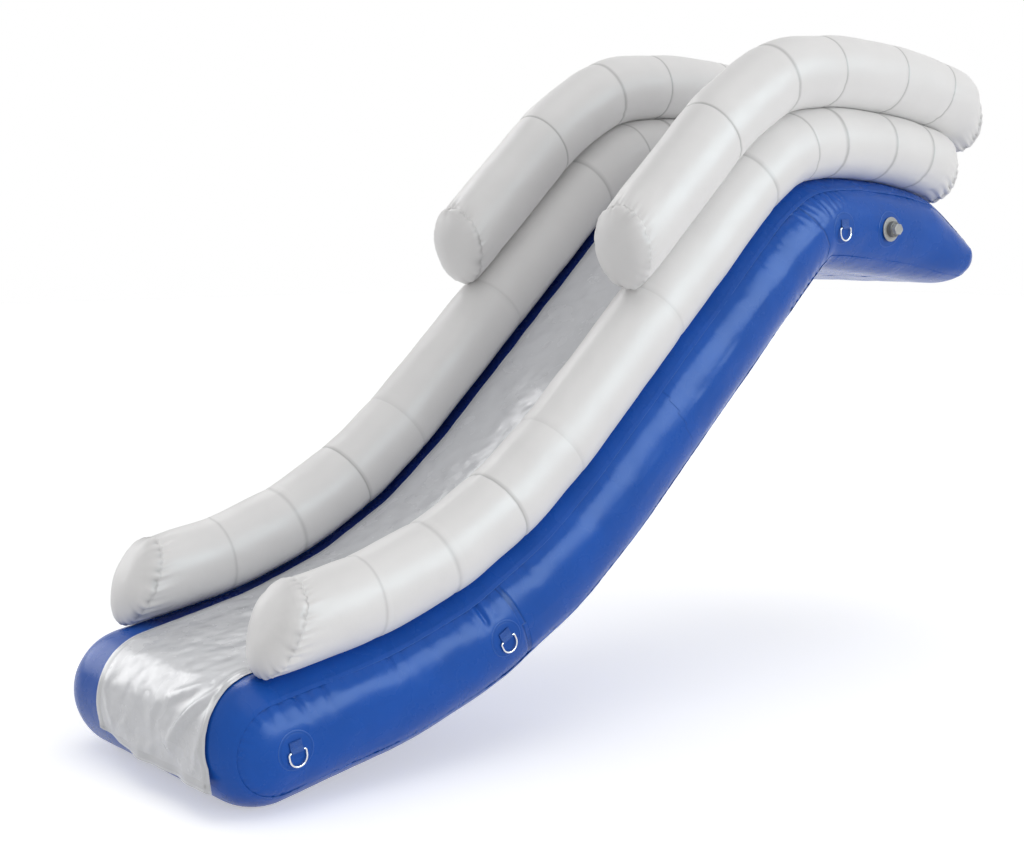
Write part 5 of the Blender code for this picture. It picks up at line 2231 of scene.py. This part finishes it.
@dataclass
class Studio:
    """Floor, light and camera."""

    eye: Point3 = (4.21, -5.15115, 0.17594)
    azimuth: float = 49.534
    down: float = 6.653
    lens: float = 57.27
    floor_size: float = 60.0
    floor_glow: float = 0.45
    sky_strength: float = 0.44
    lamps: tuple[Sun | Reflector, ...] = (
        Sun("key", 0.98, (-0.93, -0.26, -0.16), 36.0),
        Sun("second", 0.50, (0.95, 0.12, -0.32), 24.0),
        Sun("top", 0.60, (-0.10, 0.05, -1.0), 50.0, shines=True),
        Reflector(
            "side_shine", 690.0, (6.3, 0.2, 2.4), (0.5, -1.2, -0.3), (8.0, 3.6), (0.72, 0.93, 1.00)
        ),
        Reflector("nose_shine", 100.0, (-5.0, -4.5, 1.3), (0.0, -3.0, -1.2), (3.2, 3.2)),
        Reflector("bed_shine", 55.0, (-4.1, -1.3, 3.5), (0.0, -1.0, -0.4), (2.4, 1.6)),
    )

    def camera(self) -> None:
        """The camera at the photograph's angle."""
        data = bpy.data.cameras.new("photo_camera")
        data.lens = self.lens
        data.sensor_width = 36.0
        data.clip_end = 200.0
        piece = bpy.data.objects.new("photo_camera", data)
        turn, tilt = math.radians(self.azimuth), math.radians(self.down)
        right = Vector((math.cos(turn), math.sin(turn), 0.0))
        level = math.cos(tilt)
        ahead = Vector((-math.sin(turn) * level, math.cos(turn) * level, -math.sin(tilt)))
        up = right.cross(ahead)
        spin = Matrix((right, up, -ahead)).transposed().to_4x4()
        piece.matrix_world = Matrix.Translation(self.eye) @ spin
        bpy.context.scene.collection.objects.link(piece)
        bpy.context.scene.camera = piece

    def floor(self, height: float) -> None:
        """A plain pale floor.

        Args:
            height: Its height.
        """
        half = self.floor_size / 2
        ticks = np.linspace(-half, half, 9)
        grid = np.stack(np.meshgrid(ticks, ticks, indexing="ij"), -1)
        rows = np.concatenate((grid, np.full((*grid.shape[:2], 1), height)), axis=-1)
        skin = SkinMesh("studio_floor")
        skin.grid(rows)
        mesh = skin.build()
        mesh.materials.append(self.floor_material())
        piece = bpy.data.objects.new("studio_floor", mesh)
        bpy.context.scene.collection.objects.link(piece)
        piece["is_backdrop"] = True

    def floor_material(self) -> Material:
        """A matt white floor with a trace of unevenness, lifted to white where it is seen.

        Returns:
            The material.
        """
        board = Board("pale_floor")
        tone = board.blend(board.noise(2.0), (0.90, 0.90, 0.90), (0.92, 0.92, 0.92))
        rays = board.add("ShaderNodeLightPath").outputs
        seen = board.math("MAXIMUM", rays["Is Camera Ray"], rays["Is Glossy Ray"])
        seen = board.math("MAXIMUM", seen, rays["Is Transmission Ray"])
        glow = board.math("MULTIPLY", seen, self.floor_glow)
        return board.finish(
            Base_Color=tone,
            Roughness=0.9,
            Specular_IOR_Level=0.0,
            Emission_Color=(1.0, 1.0, 1.0),
            Emission_Strength=glow,
        )

    def sky(self) -> None:
        """Even light from all round, with a plain white backdrop."""
        world = bpy.data.worlds.new("studio_world")
        world.use_nodes = True
        tree = world.node_tree
        backdrop = tree.nodes.new("ShaderNodeBackground")
        mix = tree.nodes.new("ShaderNodeMixShader")
        shades = ((tree.nodes["Background"], self.sky_strength), (backdrop, 1.0))
        for number, (shade, strength) in enumerate(shades, 1):
            shade.inputs["Color"].default_value = (1.0, 1.0, 1.0, 1.0)
            shade.inputs["Strength"].default_value = strength
            tree.links.new(shade.outputs[0], mix.inputs[number])
        rays = tree.nodes.new("ShaderNodeLightPath").outputs
        seen = rays["Is Camera Ray"]
        for ray in ("Is Glossy Ray", "Is Transmission Ray"):
            either = tree.nodes.new("ShaderNodeMath")
            either.operation = "MAXIMUM"
            tree.links.new(seen, either.inputs[0])
            tree.links.new(rays[ray], either.inputs[1])
            seen = either.outputs[0]
        tree.links.new(seen, mix.inputs["Fac"])
        tree.links.new(mix.outputs[0], tree.nodes["World Output"].inputs["Surface"])
        bpy.context.scene.world = world

    def build(self, floor_height: float) -> None:
        """Set up the studio.

        Args:
            floor_height: Height of the floor.
        """
        bpy.context.scene.view_settings.view_transform = "Standard"
        self.camera()
        self.floor(floor_height)
        self.sky()
        for lamp in self.lamps:
            lamp.build()
        LOG.info("studio: camera, floor, world and lamps")


def main() -> None:
    """Dress the whole slide."""
    logging.basicConfig(level=logging.INFO, format="%(message)s")
    finishes = Finishes.mix()
    line = SlideLine()
    base = BaseChamber(line, finishes)
    base.build()
    seed = 100
    for hand in Hand:
        for level in Level:
            Rail(line, finishes, hand, level, seed).build()
            seed += 20
    SlideSheet(line, base, finishes).build()
    for hand in Hand:
        for place in RING_PLACES:
            LashingPoint(base, finishes, place, hand).build()
        for level in Level:
            dress_node(f"air_sleeve_{level.value}_{hand.label}", finishes.inner_plastic)
    InflationValve(base, finishes).build()
    low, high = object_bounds()
    Studio().build(low[2])


if __name__ == "__main__":
    main()
